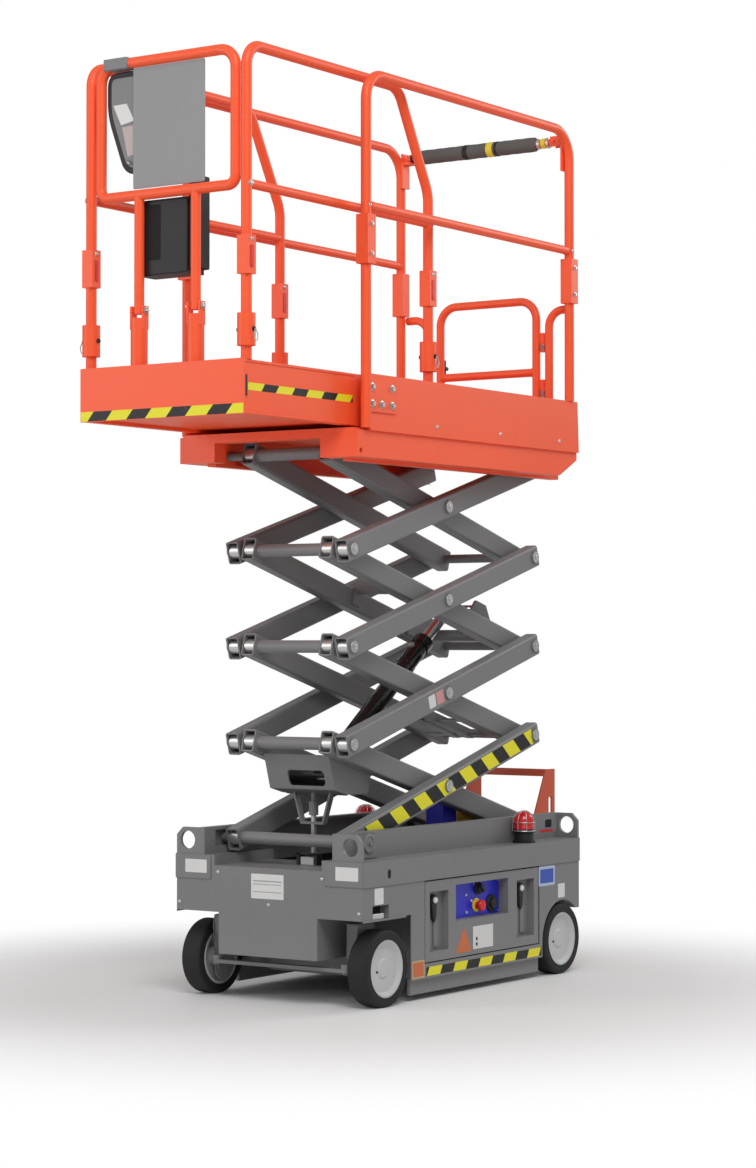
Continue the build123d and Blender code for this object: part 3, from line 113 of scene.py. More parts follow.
def turned(profile, centre, axis, sides=32, corners=0):
    """Profile of (radius, height) turned about an axis: centre + height * axis + radius * spoke.

    With corners, the radius is divided by cos of the angle to the nearest flat's middle, which
    makes a prism such as a hexagon of that inner radius.
    """
    profile = np.asarray(profile, float)
    a, axis, spoke = circle(axis, sides)
    if corners:
        step = 2 * math.pi / corners
        spoke = spoke / np.cos((a + step / 2) % step - step / 2)[:, None]
    rings = profile[:, 0, None, None] * spoke[None] + profile[:, 1, None, None] * axis
    return skin(rings + np.asarray(centre, float))


def bead(centre, axis, radius, thickness=0.0028):
    """Weld bead or o-ring: a small circle turned about the axis."""
    _, axis, spoke = circle(axis, 40)
    t = np.linspace(0, 2 * math.pi, 8, endpoint=False)[None, :, None]
    ring = (radius + thickness * np.cos(t)) * spoke[:, None] + thickness * np.sin(t) * axis
    return skin(ring + np.asarray(centre, float), closed=True)


def rounded(corner_points, radius, steps=6):
    """Path through points with each inner corner replaced by a quadratic curve.

    The curve is (1-t)^2 a + 2 t (1-t) corner + t^2 b, with a and b the radius away from the corner,
    or nearly half the shorter run where that is less.
    """
    points = np.asarray(corner_points, float)
    run = np.diff(points, axis=0)
    length = np.linalg.norm(run, axis=1)
    reach = np.minimum(radius, 0.49 * np.minimum(length[:-1], length[1:]))[:, None]
    unit = run / length[:, None]
    a = points[1:-1] - unit[:-1] * reach
    b = points[1:-1] + unit[1:] * reach
    t = np.linspace(0, 1, steps)[None, :, None]
    curve = (1 - t) ** 2 * a[:, None] + 2 * t * (1 - t) * points[1:-1, None] + t ** 2 * b[:, None]
    return np.concatenate([points[:1], curve.reshape(-1, points.shape[1]), points[-1:]])


def tube(path, radius, sides=14):
    """Round section carried along a path: point = path + radius * (cos a * n + sin a * m).

    n and m are square to the path's tangent, from one fixed reference direction.
    """
    path = np.asarray(path, float)
    tangent = np.gradient(path, axis=0)
    tangent /= np.linalg.norm(tangent, axis=1)[:, None]
    reference = np.eye(3)[np.argmin(np.abs(tangent).max(axis=0))]
    n = np.cross(tangent, reference)
    n /= np.linalg.norm(n, axis=1)[:, None]
    m = np.cross(tangent, n)
    a = np.linspace(0, 2 * math.pi, sides, endpoint=False)[None, :, None]
    return skin(path[:, None] + radius * (np.cos(a) * n[:, None] + np.sin(a) * m[:, None]))


def inset(outline, amount):
    """Closed outline drawn in by an amount: each corner moves along the mean of its edges' normals."""
    before = outline - np.roll(outline, 1, axis=0)
    after = np.roll(outline, -1, axis=0) - outline
    before /= np.linalg.norm(before, axis=1)[:, None]
    after /= np.linalg.norm(after, axis=1)[:, None]
    following = np.roll(outline, -1, axis=0)
    area = np.sum(outline[:, 0] * following[:, 1] - following[:, 0] * outline[:, 1])
    turn = math.copysign(1.0, area)
    normal = turn * np.stack([-before[:, 1] - after[:, 1], before[:, 0] + after[:, 0]], -1)
    share = 1 + np.sum(before * after, axis=1)
    return outline + amount * normal / share[:, None]


def box_outline(u0, u1, v0, v1, corner=0.0, steps=5):
    """Rectangle with round corners, as quarter circles about the four corner centres."""
    if not corner:
        return np.array([(u0, v0), (u1, v0), (u1, v1), (u0, v1)], float)
    centres = np.array([(u1 - corner, v1 - corner), (u0 + corner, v1 - corner),
                        (u0 + corner, v0 + corner), (u1 - corner, v0 + corner)])
    a = np.linspace(0, math.pi / 2, steps)[None] + math.pi / 2 * np.arange(4)[:, None]
    arcs = centres[:, None] + corner * np.stack([np.cos(a), np.sin(a)], -1)
    return arcs.reshape(-1, 2)


def slab(outline, low, high, bevel=0.0005):
    """Plate: an outline in (u, v) carried from w = low to high, drawn in by the bevel at both faces."""
    outline = np.asarray(outline, float)
    small = inset(outline, bevel)
    levels = [(small, low), (outline, low + bevel), (outline, high - bevel), (small, high)]
    rings = np.stack([np.column_stack([ring, np.full(len(ring), w)]) for ring, w in levels])
    return skin(rings)


FILM = 0.0005                               # thickness of a sticker


def sticker(u0, u1, v0, v1, corner=0.003):
    return slab(box_outline(u0, u1, v0, v1, corner), 0.0, FILM, FILM / 4)


def placed(shape, origin, across, up):
    """Shape's (u, v, w) turned to the directions across, up and across x up, from an origin."""
    across, up = np.asarray(across, float), np.asarray(up, float)
    points, faces = shape
    return np.asarray(origin, float) + points @ np.stack([across, up, np.cross(across, up)]), faces


def on_side(shape, y, sign):
    """Shape drawn as seen on the machine's left (u forwards, v up, w outwards), for either side."""
    points, faces = shape
    return np.column_stack([points[:, 0], sign * (abs(y) + points[:, 2]), points[:, 1]]), faces


def on_front(shape, x):
    """Shape drawn with u along +Y, v up and w out along +X."""
    points, faces = shape
    return np.column_stack([x + points[:, 2], points[:, 0], points[:, 1]]), faces


def on_top(shape, z):
    """Shape drawn with u along +X, v along +Y and w up."""
    points, faces = shape
    return np.column_stack([points[:, 0], points[:, 1], z + points[:, 2]]), faces


def repeated(shape, offsets):
    """Copies of a shape moved by each offset."""
    points, faces = shape
    offsets = np.asarray(offsets, float)
    moved = (points[None] + offsets[:, None]).reshape(-1, 3)
    many = [[index + k * len(points) for index in face] for k in range(len(offsets)) for face in faces]
    return moved, many


def both_sides(*shapes):
    """The shapes as one, with their mirror image on the machine's other side."""
    points, faces = joined(*shapes)
    return joined((points, faces), (points * (1, -1, 1), faces))


def on_both(shape, y):
    """Shape drawn as seen on the machine's left, and its mirror image on the right."""
    return both_sides(on_side(shape, y, 1))


def bolt_head(centre, axis, size=0.008):
    """Hexagon head of inner radius size with a chamfered top, on a round washer."""
    height = size * 1.1
    head = turned([(size * 0.98, 0), (size, 0.0004), (size, height * 0.85), (size * 0.8, height)],
                  np.asarray(centre) + np.asarray(axis) * 0.0018, axis, 24, 6)
    washer = turned([(size * 1.75, 0), (size * 1.75, 0.0014), (size * 1.6, 0.0018)], centre, axis, 28)
    return joined(head, washer)


def round_head(centre, axis, radius):
    """Low domed screw or rivet head: radius * cos t out, 0.6 * radius * sin t up."""
    t = np.linspace(0, math.pi / 2 * 0.96, 5)
    profile = np.stack([radius * np.cos(t), 0.6 * radius * np.sin(t)], -1)
    return turned(profile, centre, axis, 16)


def collar(radius, outer, half, rim, centre, axis, sides):
    """Short collar: from radius up to outer and back, half its length each way, with sloped rims."""
    profile = [(radius, -half), (outer, rim - half), (outer, half - rim), (radius, half)]
    return turned(profile, centre, axis, sides)


def in_scene(made):
    bpy.context.scene.collection.objects.link(made)
    return made


def piece(name, shape, finish, body, smooth=32.0, uv=None):
    """A mesh object of one shape or a list of them, with its faces outwards, that rides on a CAD body."""
    points, faces = joined(*shape) if isinstance(shape, list) else shape
    data = bpy.data.meshes.new(name)
    data.from_pydata(np.asarray(points).tolist(), [], faces)
    shell = bmesh.new()
    shell.from_mesh(data)
    bmesh.ops.recalc_face_normals(shell, faces=shell.faces)
    shell.to_mesh(data)
    shell.free()
    data.shade_smooth()
    data.set_sharp_from_angle(angle=math.radians(smooth))
    if uv is not None:
        layer = data.uv_layers.new(name="along")
        corner_point = np.empty(len(data.loops), np.int32)
        data.loops.foreach_get("vertex_index", corner_point)
        layer.data.foreach_set("uv", np.asarray(uv, np.float32)[corner_point].ravel())
    material, slot = FINISHES[finish]
    data.materials.append(material)
    made = in_scene(bpy.data.objects.new(name, data))
    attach(made, body)
    return made


# ---- materials -------------------------------------------------------------------
COLOUR, VALUE = "NodeSocketColor", "NodeSocketFloat"


class Graph:
    """A node tree, with short ways to add its nodes and link them."""

    def __init__(self, tree):
        self.nodes, self.links = tree.nodes, tree.links

    def feed(self, sockets, given):
        """Feeds sockets by name or number: an output is linked, anything else is set."""
        for key, value in given.items():
            socket = sockets[key]
            if isinstance(value, bpy.types.NodeSocket):
                self.links.new(value, socket)
            elif socket.type == "RGBA":
                socket.default_value = (*value[:3], 1.0)
            else:
                socket.default_value = value

    def add(self, kind, given=(), **settings):
        """A new shader node with its settings and inputs; returns its outputs."""
        node = self.nodes.new("ShaderNode" + kind)
        for key, value in settings.items():
            setattr(node, key, value)
        self.feed(node.inputs, dict(given))
        return node.outputs

    def math(self, operation, a, b=0.0, clamp=False):
        return self.add("Math", {0: a, 1: b}, operation=operation, use_clamp=clamp)[0]

    def times(self, a, b, clamp=False):
        return self.math("MULTIPLY", a, b, clamp)

    def plus(self, a, b, clamp=False):
        return self.math("ADD", a, b, clamp)

    def minus(self, a, b):
        return self.math("SUBTRACT", a, b)

    def scaled(self, colour, factor):
        return self.add("VectorMath", {0: colour, "Scale": factor}, operation="SCALE")[0]

    def mix(self, factor, a, b):
        return self.add("Mix", {0: factor, 6: a, 7: b}, data_type="RGBA")[2]

    def split(self, vector):
        return self.add("SeparateXYZ", {0: vector})

    def here(self):
        return self.add("TexCoord")["Object"]

    def noise(self, where, scale, detail=3.0, roughness=0.55):
        given = {"Vector": where, "Scale": scale, "Detail": detail, "Roughness": roughness}
        return self.add("TexNoise", given)["Fac"]

    def bump(self, height, strength, distance):
        return self.add("Bump", {"Height": height, "Strength": strength, "Distance": distance})[0]


def make_paint_film():
    """Sprayed paint: slow tone drift, fine orange peel, road dust low down and worn edges.

    Worn edges are where the Bevel node's rounded normal parts from the true one.
    """
    group = bpy.data.node_groups.new("paint_film", "ShaderNodeTree")
    for name, kind, value in (("Colour", COLOUR, (0.5, 0.5, 0.5, 1)), ("Bare", COLOUR, (0.3, 0.3, 0.3, 1)),
                              ("Drift", VALUE, 0.12), ("Wear", VALUE, 0.3), ("Dust", VALUE, 0.2),
                              ("Rough", VALUE, 0.35), ("Peel", VALUE, 0.5)):
        group.interface.new_socket(name, in_out="INPUT", socket_type=kind).default_value = value
    for name, kind in (("Colour", COLOUR), ("Rough", VALUE), ("Height", VALUE)):
        group.interface.new_socket(name, in_out="OUTPUT", socket_type=kind)
    graph = Graph(group)
    given = graph.nodes.new("NodeGroupInput").outputs
    where = graph.here()
    normal = graph.add("NewGeometry")["Normal"]
    slow = graph.noise(where, 2.3, 4.0)
    fine = graph.noise(where, 190.0, 2.0)
    chips = graph.noise(where, 34.0, 6.0, 0.7)
    # tone drift
    shift = graph.times(graph.minus(slow, 0.5), given["Drift"])
    toned = graph.scaled(given["Colour"], graph.plus(shift, 1.0))
    # worn edges
    bevel = graph.add("Bevel", {"Radius": 0.003}, samples=4)[0]
    match = graph.add("VectorMath", {0: bevel, 1: normal}, operation="DOT_PRODUCT")["Value"]
    edge = graph.times(graph.minus(1.0, match), 6.0, True)
    rub = graph.times(graph.minus(chips, 0.48), 9.0, True)
    worn = graph.times(graph.times(edge, rub, True), given["Wear"])
    bare = graph.mix(worn, toned, given["Bare"])
    # dust gathers on what faces up, and near the floor
    up = graph.times(graph.split(normal)["Z"], 0.7, True)
    height = {"Value": graph.split(where)["Z"], "From Min": 0.28, "From Max": 0.02}
    low = graph.add("MapRange", height)["Result"]
    patch = graph.times(graph.math("MAXIMUM", up, low), graph.noise(where, 9.0, 5.0, 0.65))
    dusty = graph.times(patch, given["Dust"], True)
    rough = graph.plus(given["Rough"], graph.times(graph.minus(slow, 0.45), 0.22))
    graph.feed(graph.nodes.new("NodeGroupOutput").inputs,
               {"Colour": graph.mix(dusty, bare, (0.42, 0.39, 0.35)),
                "Rough": graph.plus(rough, graph.times(dusty, 0.5), True),
                "Height": graph.times(fine, given["Peel"])})
    return group


PAINT_FILM = make_paint_film()


def new_material(name):
    material = bpy.data.materials.new(name)
    material.use_nodes = True
    tree = material.node_tree
    return material, Graph(tree), tree.nodes["Principled BSDF"].inputs


def paint(name, colour, bare, rough, drift=0.14, wear=0.35, dust=0.2, peel=0.5, coat=0.0):
    material, graph, shader = new_material(name)
    film = graph.add("Group", {"Colour": colour, "Bare": bare, "Drift": drift, "Wear": wear, "Dust": dust,
                               "Rough": rough, "Peel": peel}, node_tree=PAINT_FILM)
    graph.feed(shader, {"Base Color": film["Colour"], "Roughness": film["Rough"],
                        "Normal": graph.bump(film["Height"], 0.25, 0.0004),
                        "Specular IOR Level": 0.4, "Coat Weight": coat})
    return material


def plain(name, colour, rough, grain, depth, spread, metallic=0.0, coat=0.0):
    """Moulded or cast finish: a fine grain in colour, roughness and height."""
    material, graph, shader = new_material(name)
    where = graph.here()
    fine = graph.noise(where, grain, 5.0, 0.6)
    slow = graph.noise(where, 6.0, 3.0)
    tone = graph.plus(graph.times(graph.minus(slow, 0.5), spread * 2), 1.0)
    graph.feed(shader, {"Base Color": graph.scaled(colour, tone),
                        "Roughness": graph.plus(graph.times(slow, 0.2), rough - 0.1, True),
                        "Normal": graph.bump(fine, 0.35, depth), "Metallic": metallic,
                        "Specular IOR Level": 0.4, "Coat Weight": coat})
    return material


BAND_YELLOW, BAND_BLACK = (0.78, 0.72, 0.02), (0.012, 0.012, 0.012)


def striped(name, pitch, slant, share, start):
    """Slanted bands on the piece's own UV map.

    Yellow where the fraction of (u + slant * v - start) / pitch is under the share.
    """
    material, graph, shader = new_material(name)
    flat = graph.split(graph.add("UVMap", uv_map="along")[0])
    along = graph.plus(flat["X"], graph.times(flat["Y"], slant))
    turn = graph.math("FRACT", graph.math("DIVIDE", graph.minus(along, start), pitch))
    where = graph.here()
    ragged = graph.times(graph.minus(graph.noise(where, 300.0), 0.5), 0.02)
    band = graph.math("LESS_THAN", graph.plus(turn, ragged), share)
    colour = graph.mix(band, BAND_BLACK, BAND_YELLOW)
    scuff = graph.times(graph.minus(graph.noise(where, 45.0, 6.0, 0.75), 0.62), 3.0, True)
    graph.feed(shader, {"Base Color": graph.mix(scuff, colour, (0.3, 0.29, 0.27)), "Roughness": 0.42,
                        "Normal": graph.bump(graph.noise(where, 160.0), 0.15, 0.0002),
                        "Specular IOR Level": 0.3})
    return material


# name: slot, then paint's colour, bare colour, roughness, drift, wear, dust, peel and coat
PAINTS = {
    "grey_paint": ("grey_paint", (0.19, 0.19, 0.195), (0.1, 0.09, 0.085), 0.42, 0.14, 0.35, 0.22),
    "orange_paint": ("orange_paint", (0.93, 0.105, 0.03), (0.5, 0.09, 0.04), 0.4, 0.14, 0.35, 0.1),
    "step_orange": ("step_orange", (0.56, 0.085, 0.035), (0.2, 0.07, 0.05), 0.45),
    "rim_paint": ("rim_paint", (0.52, 0.53, 0.54), (0.3, 0.3, 0.3), 0.4, 0.14, 0.35, 0.35),
    "black_paint": ("black_paint", (0.012, 0.012, 0.013), (0.1, 0.1, 0.1), 0.18, 0.3, 0.15, 0.08,
                    0.25, 0.4),
    "blue_paint": ("blue_paint", (0.022, 0.026, 0.56), (0.1, 0.1, 0.2), 0.35, 0.14, 0.35, 0.03),
    "yellow_paint": ("yellow_paint", (0.72, 0.46, 0.02), (0.3, 0.25, 0.2), 0.4, 0.14, 0.35, 0.25),
    "pale_paint": ("pale_paint", (0.34, 0.35, 0.36), (0.25, 0.25, 0.25), 0.4, 0.14, 0.35, 0.15),
    "red_mould": ("red_lens", (0.62, 0.014, 0.012), (0.3, 0.02, 0.02), 0.32, 0.1, 0.1, 0.06),
    "blank_white": ("pale_paint", (0.66, 0.66, 0.65), (0.35, 0.35, 0.34), 0.4, 0.06, 0.2, 0.08),
    "blank_pink": ("pale_paint", (0.6, 0.27, 0.27), (0.4, 0.3, 0.3), 0.42, 0.08, 0.2, 0.08),
    "shield_grey": ("pale_paint", (0.265, 0.265, 0.27), (0.2, 0.2, 0.2), 0.45, 0.05, 0.1, 0.05),
    "blank_rose": ("pale_paint", (0.46, 0.37, 0.36), (0.4, 0.3, 0.3), 0.42, 0.06, 0.1, 0.05),
    "blank_tan": ("pale_paint", (0.5, 0.36, 0.2), (0.3, 0.25, 0.2), 0.42, 0.08, 0.2, 0.08),
    "blank_brown": ("orange_paint", (0.56, 0.14, 0.045), (0.3, 0.2, 0.1), 0.42, 0.1, 0.2, 0.06),
    "blank_pale_blue": ("blue_paint", (0.42, 0.5, 0.66), (0.22, 0.21, 0.2), 0.4, 0.06, 0.2, 0.06),
    "blank_blue": ("blue_paint", (0.03, 0.08, 0.42), (0.1, 0.1, 0.2), 0.4, 0.08, 0.15, 0.06),
    "sticker_yellow": ("yellow_paint", (0.78, 0.6, 0.03), (0.4, 0.35, 0.2), 0.4, 0.1, 0.2, 0.08),
}
# name: slot, then colour, roughness, grain, depth, spread, metallic and coat
PLAINS = {
    "tyre": ("tyre", (0.013, 0.013, 0.013), 0.72, 120.0, 0.0004, 0.3),
    "black_plastic": ("black_plastic", (0.012, 0.012, 0.013), 0.5, 420.0, 0.00012, 0.25),
    "chrome": ("chrome", (0.82, 0.82, 0.84), 0.17, 300.0, 0.00002, 0.05, 1.0),
    "foam": ("foam", (0.11, 0.105, 0.1), 0.85, 260.0, 0.0005, 0.2),
    "red_lens": ("red_lens", (0.62, 0.008, 0.012), 0.2, 90.0, 0.0001, 0.2, 0.0, 0.6),
    "rubber": ("black_plastic", (0.014, 0.014, 0.015), 0.6, 200.0, 0.0002, 0.25),
    # painted shade: near-black colour on flat films that stand in for the shade in holes, slots, notches
    # and wells; also the dark marks on the left door's plate
    "dark_hollow": ("black_plastic", (0.006, 0.006, 0.007), 0.8, 90.0, 0.0002, 0.2),
    "zinc": ("chrome", (0.58, 0.58, 0.57), 0.34, 240.0, 0.00008, 0.14, 0.85),
}
# name: slot, then pitch along u, slant, yellow share and where the first yellow band starts at v = 0
STRIPES = {
    "skirt_stripes": ("yellow_paint", 0.159, 0.53, 0.5, back(0.425) + 0.53 * 0.0935 - 0.25 * 0.159),
    "front_stripes": ("yellow_paint", 0.1587, -0.86, 0.52, -0.194 - 0.86 * 1.911),
    "side_stripes": ("yellow_paint", 0.159, 0.75, 0.53, 0.787 + 0.75 * 1.9777),
    "arm_stripes": ("yellow_paint", 0.148, 0.715, 0.5, -0.048),
}
FINISHES = {name: (maker(name, *values), slot)
            for maker, table in ((paint, PAINTS), (plain, PLAINS), (striped, STRIPES))
            for name, (slot, *values) in table.items()}


def finish_nodes():
    """Gives each CAD piece the finish of its material slot."""
    slots = {row["node"]: row["material_slot"] for row in frame["record"]["subparts"]}
    for name, made in frame["nodes"].items():
        made.data.materials.clear()
        made.data.materials.append(FINISHES[slots[name]][0])


# ---- places and small makers the pieces share -----------------------------------
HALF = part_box("chassis_frame")[1][1]        # outer faces of the side beams
SKIN = HALF - 0.004                         # the sheets under them stand this far in
REAR = back(1.375)                          # x of the chassis rear
LUG_FACE = 0.313                            # outer faces of the front corner lugs
RAIL_FACE = 0.295                           # outer faces of the chassis's roller rails
FORK_FACE = 0.2885                          # where the fork legs stand beside the front tyres
ARM_FACE = 0.248                            # outer faces of the outer arms
HEAD_FACE = 0.2543                          # outer faces of the stack's pin heads
BOSS = 0.0245                               # radius of the bushes in the arm ends
DECK_Z = 1.872                              # top of the platform's floor
ROLL_OUT_Z = 1.897                          # top of the roll-out deck's floor
MID_Z = DECK_Z + 0.718                      # mid rails
WALL_FACE = 0.376                           # outer faces of the platform walls' plates
POST_FACE = 0.388                           # outer faces of the guardrail's sleeves
ROLL_OUT_FACE = 0.318                       # outer faces of the roll-out deck's walls
ROLL_OUT_RAIL = 0.309                       # y of the roll-out guardrails' tubes
GATE_X = back(1.362)                        # x of the gate's tubes
BAR = 0.0156                                # radius of the padded bar's tube


def middle(node):
    """Middle of a CAD piece's box."""
    return np.mean(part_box(node), axis=0)


def plate(u0, u1, v0, v1, corner, low, high, bevel=0.0005):
    return slab(box_outline(u0, u1, v0, v1, corner), low, high, bevel)


def flat_uv(shape, copies=1):
    """The plate's own (u, v) as its UV map, in metres."""
    return np.tile(shape[0][:, :2], (copies, 1))


def level_pin(level):
    """Front pin between the levels, counted from the chassis."""
    return joint_place(["lift", "link_1", "link_2", "link_3", "platform_level"][level])


def arm_axes(level, rising):
    """Front pin of a pair of arms, and the directions along them to the rear and square to them."""
    front = level_pin(level if rising else level + 1)
    centre = joint_place(f"scissor_{level + 1}")
    along = (centre - front) / np.linalg.norm(centre - front)
    return front, along, np.array([along[2], 0.0, -along[0]])


HALF_ARM = np.linalg.norm(joint_place("scissor_1") - joint_place("lift"))


def at_y(point, y):
    return np.array([point[0], y, point[2]])


# ---- chassis ---------------------------------------------------------------------
def dress_chassis():
    # hazard band under the doors
    band = sticker(back(1.112), back(0.373), 0.079, 0.108, 0)
    piece("skirt_band", on_both(band, SKIN), "skirt_stripes", "chassis", uv=flat_uv(band, 2))
    # ends of the side beams, over the front sheet
    end = plate(0.232, HALF - 0.0005, 0.396, 0.4765, 0.004, -0.002, 0.004, 0.0012)
    piece("beam_ends", both_sides(on_front(end, FRONT)), "grey_paint", "chassis", 24.0)
    # blank plates, with grey rules on the middle one
    white = [on_front(sticker(-0.066, 0.066, 0.342, 0.423), FRONT),
             on_front(sticker(-0.337, -0.247, 0.416, 0.46), FRONT + 0.004),
             on_front(sticker(0.275, 0.364, 0.416, 0.46), FRONT + 0.004),
             on_both(sticker(back(0.122), back(0.071), 0.3365, 0.389), SKIN),
             on_both(sticker(back(1.274), back(1.227), 0.272, 0.322), SKIN)]
    piece("blank_plates", white, "blank_white", "chassis")
    rules = [on_front(sticker(-0.057, 0.057, low, high, 0.001), FRONT + FILM)
             for low, high in ((0.398, 0.402), (0.388, 0.3905), (0.363, 0.3655))]
    piece("plate_rules", rules, "pale_paint", "chassis")
    # flat things on both sides: lips of the front wheel arches, stickers on their borders, painted
    # shade as dark films over the holes and slots and on the notches' back walls, and the kingpins' heads
    # in the notches over the front wheels
    # painted shade: a dark film standing in for the shade inside the side beams' holes
    hole_shade = slab(box_outline(back(0.1585), back(0.1415), 0.417, 0.4465, 0.0084, 8), 0.0, FILM)
    for name, shape, y, finish in (
            ("arch_lips", plate(back(0.252), back(0.002), 0.283, 0.2895, 0.002, 0.0, 0.003, 0.0008),
             SKIN, "grey_paint"),
            ("tan_sticker_border", sticker(back(0.363), back(0.288), 0.076, 0.135), SKIN, "blank_tan"),
            ("tan_stickers", sticker(back(0.357), back(0.294), 0.082, 0.129), SKIN + FILM, "blank_brown"),
            ("blue_sticker_border", sticker(back(1.204), back(1.094), 0.321, 0.39), SKIN,
             "blank_pale_blue"),
            ("blue_stickers", sticker(back(1.194), back(1.104), 0.331, 0.38), SKIN + FILM, "blank_blue"),
            # painted shade: dark films for the shade in the beams' holes and the rails' slots
            ("beam_holes", hole_shade, HALF, "dark_hollow"),
            ("rail_slots", plate(back(1.318), back(1.274), 0.516, 0.544, 0.006, 0.0, FILM),
             RAIL_FACE, "dark_hollow"),
            ("rail_marks", sticker(back(1.329), back(1.238), 0.5, 0.509, 0.002), RAIL_FACE, "red_mould"),
            ("kingpin_blocks",
             plate(back(0.128), back(0.066), 0.2895, 0.3065, 0.003, -0.03, -0.002, 0.0015), SKIN, "zinc"),
            # painted shade: a dark sheet on each notch's back wall, where shade falls
            ("notch_liners",
             plate(back(0.1535), back(0.0605), 0.2895, 0.3325, 0.002, -0.0362, -0.0355, 0.0001),
             SKIN, "dark_hollow")):
        piece(name, on_both(shape, y), finish, "chassis")
    # screws of the front sheet and the rear cover
    places = [(-0.204, 0.4216), (0.219, 0.418), (0.0043, 0.3238), (-0.3647, 0.3164), (0.3639, 0.3133)]
    heads = [round_head((FRONT, y, z), X_AXIS, 0.0062) for y, z in places]
    heads += [both_sides(round_head((REAR, 0.262, z), -X_AXIS, 0.006)) for z in (0.22, 0.33, 0.44)]
    piece("cover_screws", heads, "zinc", "chassis")
    # caps over the front pivots: a ring, a face and the end of the pin
    caps = []
    for sign in SIDES.values():
        place, out = at_y(joint_place("lift"), sign * LUG_FACE), sign * Y_AXIS
        caps.append(turned([(0.0305, -0.008), (0.0305, 0.0008), (0.0285, 0.0022), (0.0225, 0.0022),
                            (0.0215, 0.0002), (0.0212, -0.006)], place, out, 40))
        caps.append(bolt_head(place, out, 0.0065))
    piece("pivot_caps", caps, "grey_paint", "chassis")
    # lock of the front pad on the cover: a block in a u-shaped frame
    x, y = back(0.19), 0.033
    sides = [plate(y - 0.042, y - 0.029, 0.443, 0.482, 0.002, -0.016, 0.016),
             plate(y + 0.029, y + 0.042, 0.443, 0.482, 0.002, -0.016, 0.016),
             plate(y - 0.04, y + 0.04, 0.476, 0.4825, 0.002, -0.016, 0.016)]
    piece("pad_frame", [on_front(side, x) for side in sides], "black_plastic", "chassis")
    block = plate(y - 0.027, y + 0.027, 0.443, 0.47, 0.003, -0.014, 0.0145, 0.002)
    piece("pad_block", on_front(block, x), "blank_white", "chassis")


def dress_beacons():
    """Wire cages over the beacons: four bent wires, a ring where they bend and a ring at their feet."""
    centre = np.array([back(1.058), 0.3375, 0.0])
    reach, bend, foot = 0.0405, 0.549, 0.518
    # a half circle over the dome, then straight down to the feet
    t = np.linspace(0, math.pi, 15)
    across = reach * np.cos(np.concatenate([t[:1], t, t[-1:]]))
    height = np.concatenate([[foot], bend + reach * np.sin(t), [foot]])
    wires = [tube(centre + np.column_stack([across * math.cos(a), across * math.sin(a), height]), 0.0011, 8)
             for a in math.pi / 4 * np.arange(4)]
    wires += [bead(centre + (0, 0, z), Z_AXIS, reach, thickness)
              for z, thickness in ((bend, 0.0011), (0.519, 0.0016))]
    base = turned([(0.04, 0.477), (0.04, 0.483), (0.034, 0.486), (0.0338, 0.51), (0.0385, 0.513),
                   (0.0385, 0.5235), (0.033, 0.5245), (0.0329, 0.477)], centre, Z_AXIS, 40)
    ribs = [bead(centre + (0, 0, z), Z_AXIS, 0.0361, 0.0012) for z in (0.533, 0.541, 0.549)]
    piece("beacon_cages", both_sides(*wires), "zinc", "chassis")
    piece("beacon_bases", both_sides(base), "black_plastic", "chassis")
    piece("beacon_ribs", both_sides(*ribs), "red_lens", "chassis")


def dress_power_unit():
    """Fittings of the pump, the tank's cap, and posts, caps and links on the batteries."""
    low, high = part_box("hydraulic_unit")
    x, y, _ = middle("hydraulic_unit")
    fittings = [turned([(0.011, 0), (0.011, 0.008), (0.008, 0.01), (0.008, 0.018), (0.0005, 0.0185)],
                       (x + dx, y, high[2]), Z_AXIS, 24, 6) for dx in (-0.022, 0.022)]
    fittings += [bolt_head((x + dx, low[1], high[2] - dz), -Y_AXIS, 0.006)
                 for dx in (-0.03, 0.03) for dz in (0.02, 0.09)]
    piece("pump_fittings", fittings, "zinc", "chassis")
    x, y, _ = middle("oil_tank")
    cap = turned([(0.019, 0), (0.021, 0.002), (0.021, 0.014), (0.018, 0.017), (0.0005, 0.0175)],
                 (x, y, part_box("oil_tank")[1][2]), Z_AXIS, 36)
    piece("tank_cap", cap, "black_plastic", "chassis")
    # battery tops; x of the row's middle, y of its outer edge
    x = middle("batteries")[0]
    _, edge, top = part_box("batteries")[1]
    y = edge - 0.035
    posts, caps = [], []
    for block in (x - 0.156, x + 0.156):
        posts += [turned([(0.0085, 0), (0.0078, 0.014), (0.0005, 0.0145)], (block + dx, y, top), Z_AXIS, 20)
                  for dx in (-0.09, 0.09)]
        caps += [turned([(0.016, 0), (0.017, 0.002), (0.017, 0.009), (0.014, 0.011), (0.0005, 0.0113)],
                        (block + dx, edge - 0.105, top), Z_AXIS, 24) for dx in (-0.06, 0.0, 0.06)]
        lid = plate(block - 0.128, block + 0.128, edge - 0.178, edge - 0.003, 0.006, 0.0, 0.006, 0.002)
        caps.append(on_top(lid, top - 0.003))
    z = top + 0.012
    link = rounded([(x - 0.066, y, z), (x - 0.03, y, z + 0.012), (x + 0.03, y, z + 0.012),
                    (x + 0.066, y, z)], 0.02, 8)
    piece("battery_posts", both_sides(*posts), "zinc", "chassis")
    piece("battery_caps", both_sides(*caps), "black_plastic", "chassis")
    piece("battery_links", both_sides(tube(link, 0.006, 12)), "red_mould", "chassis")


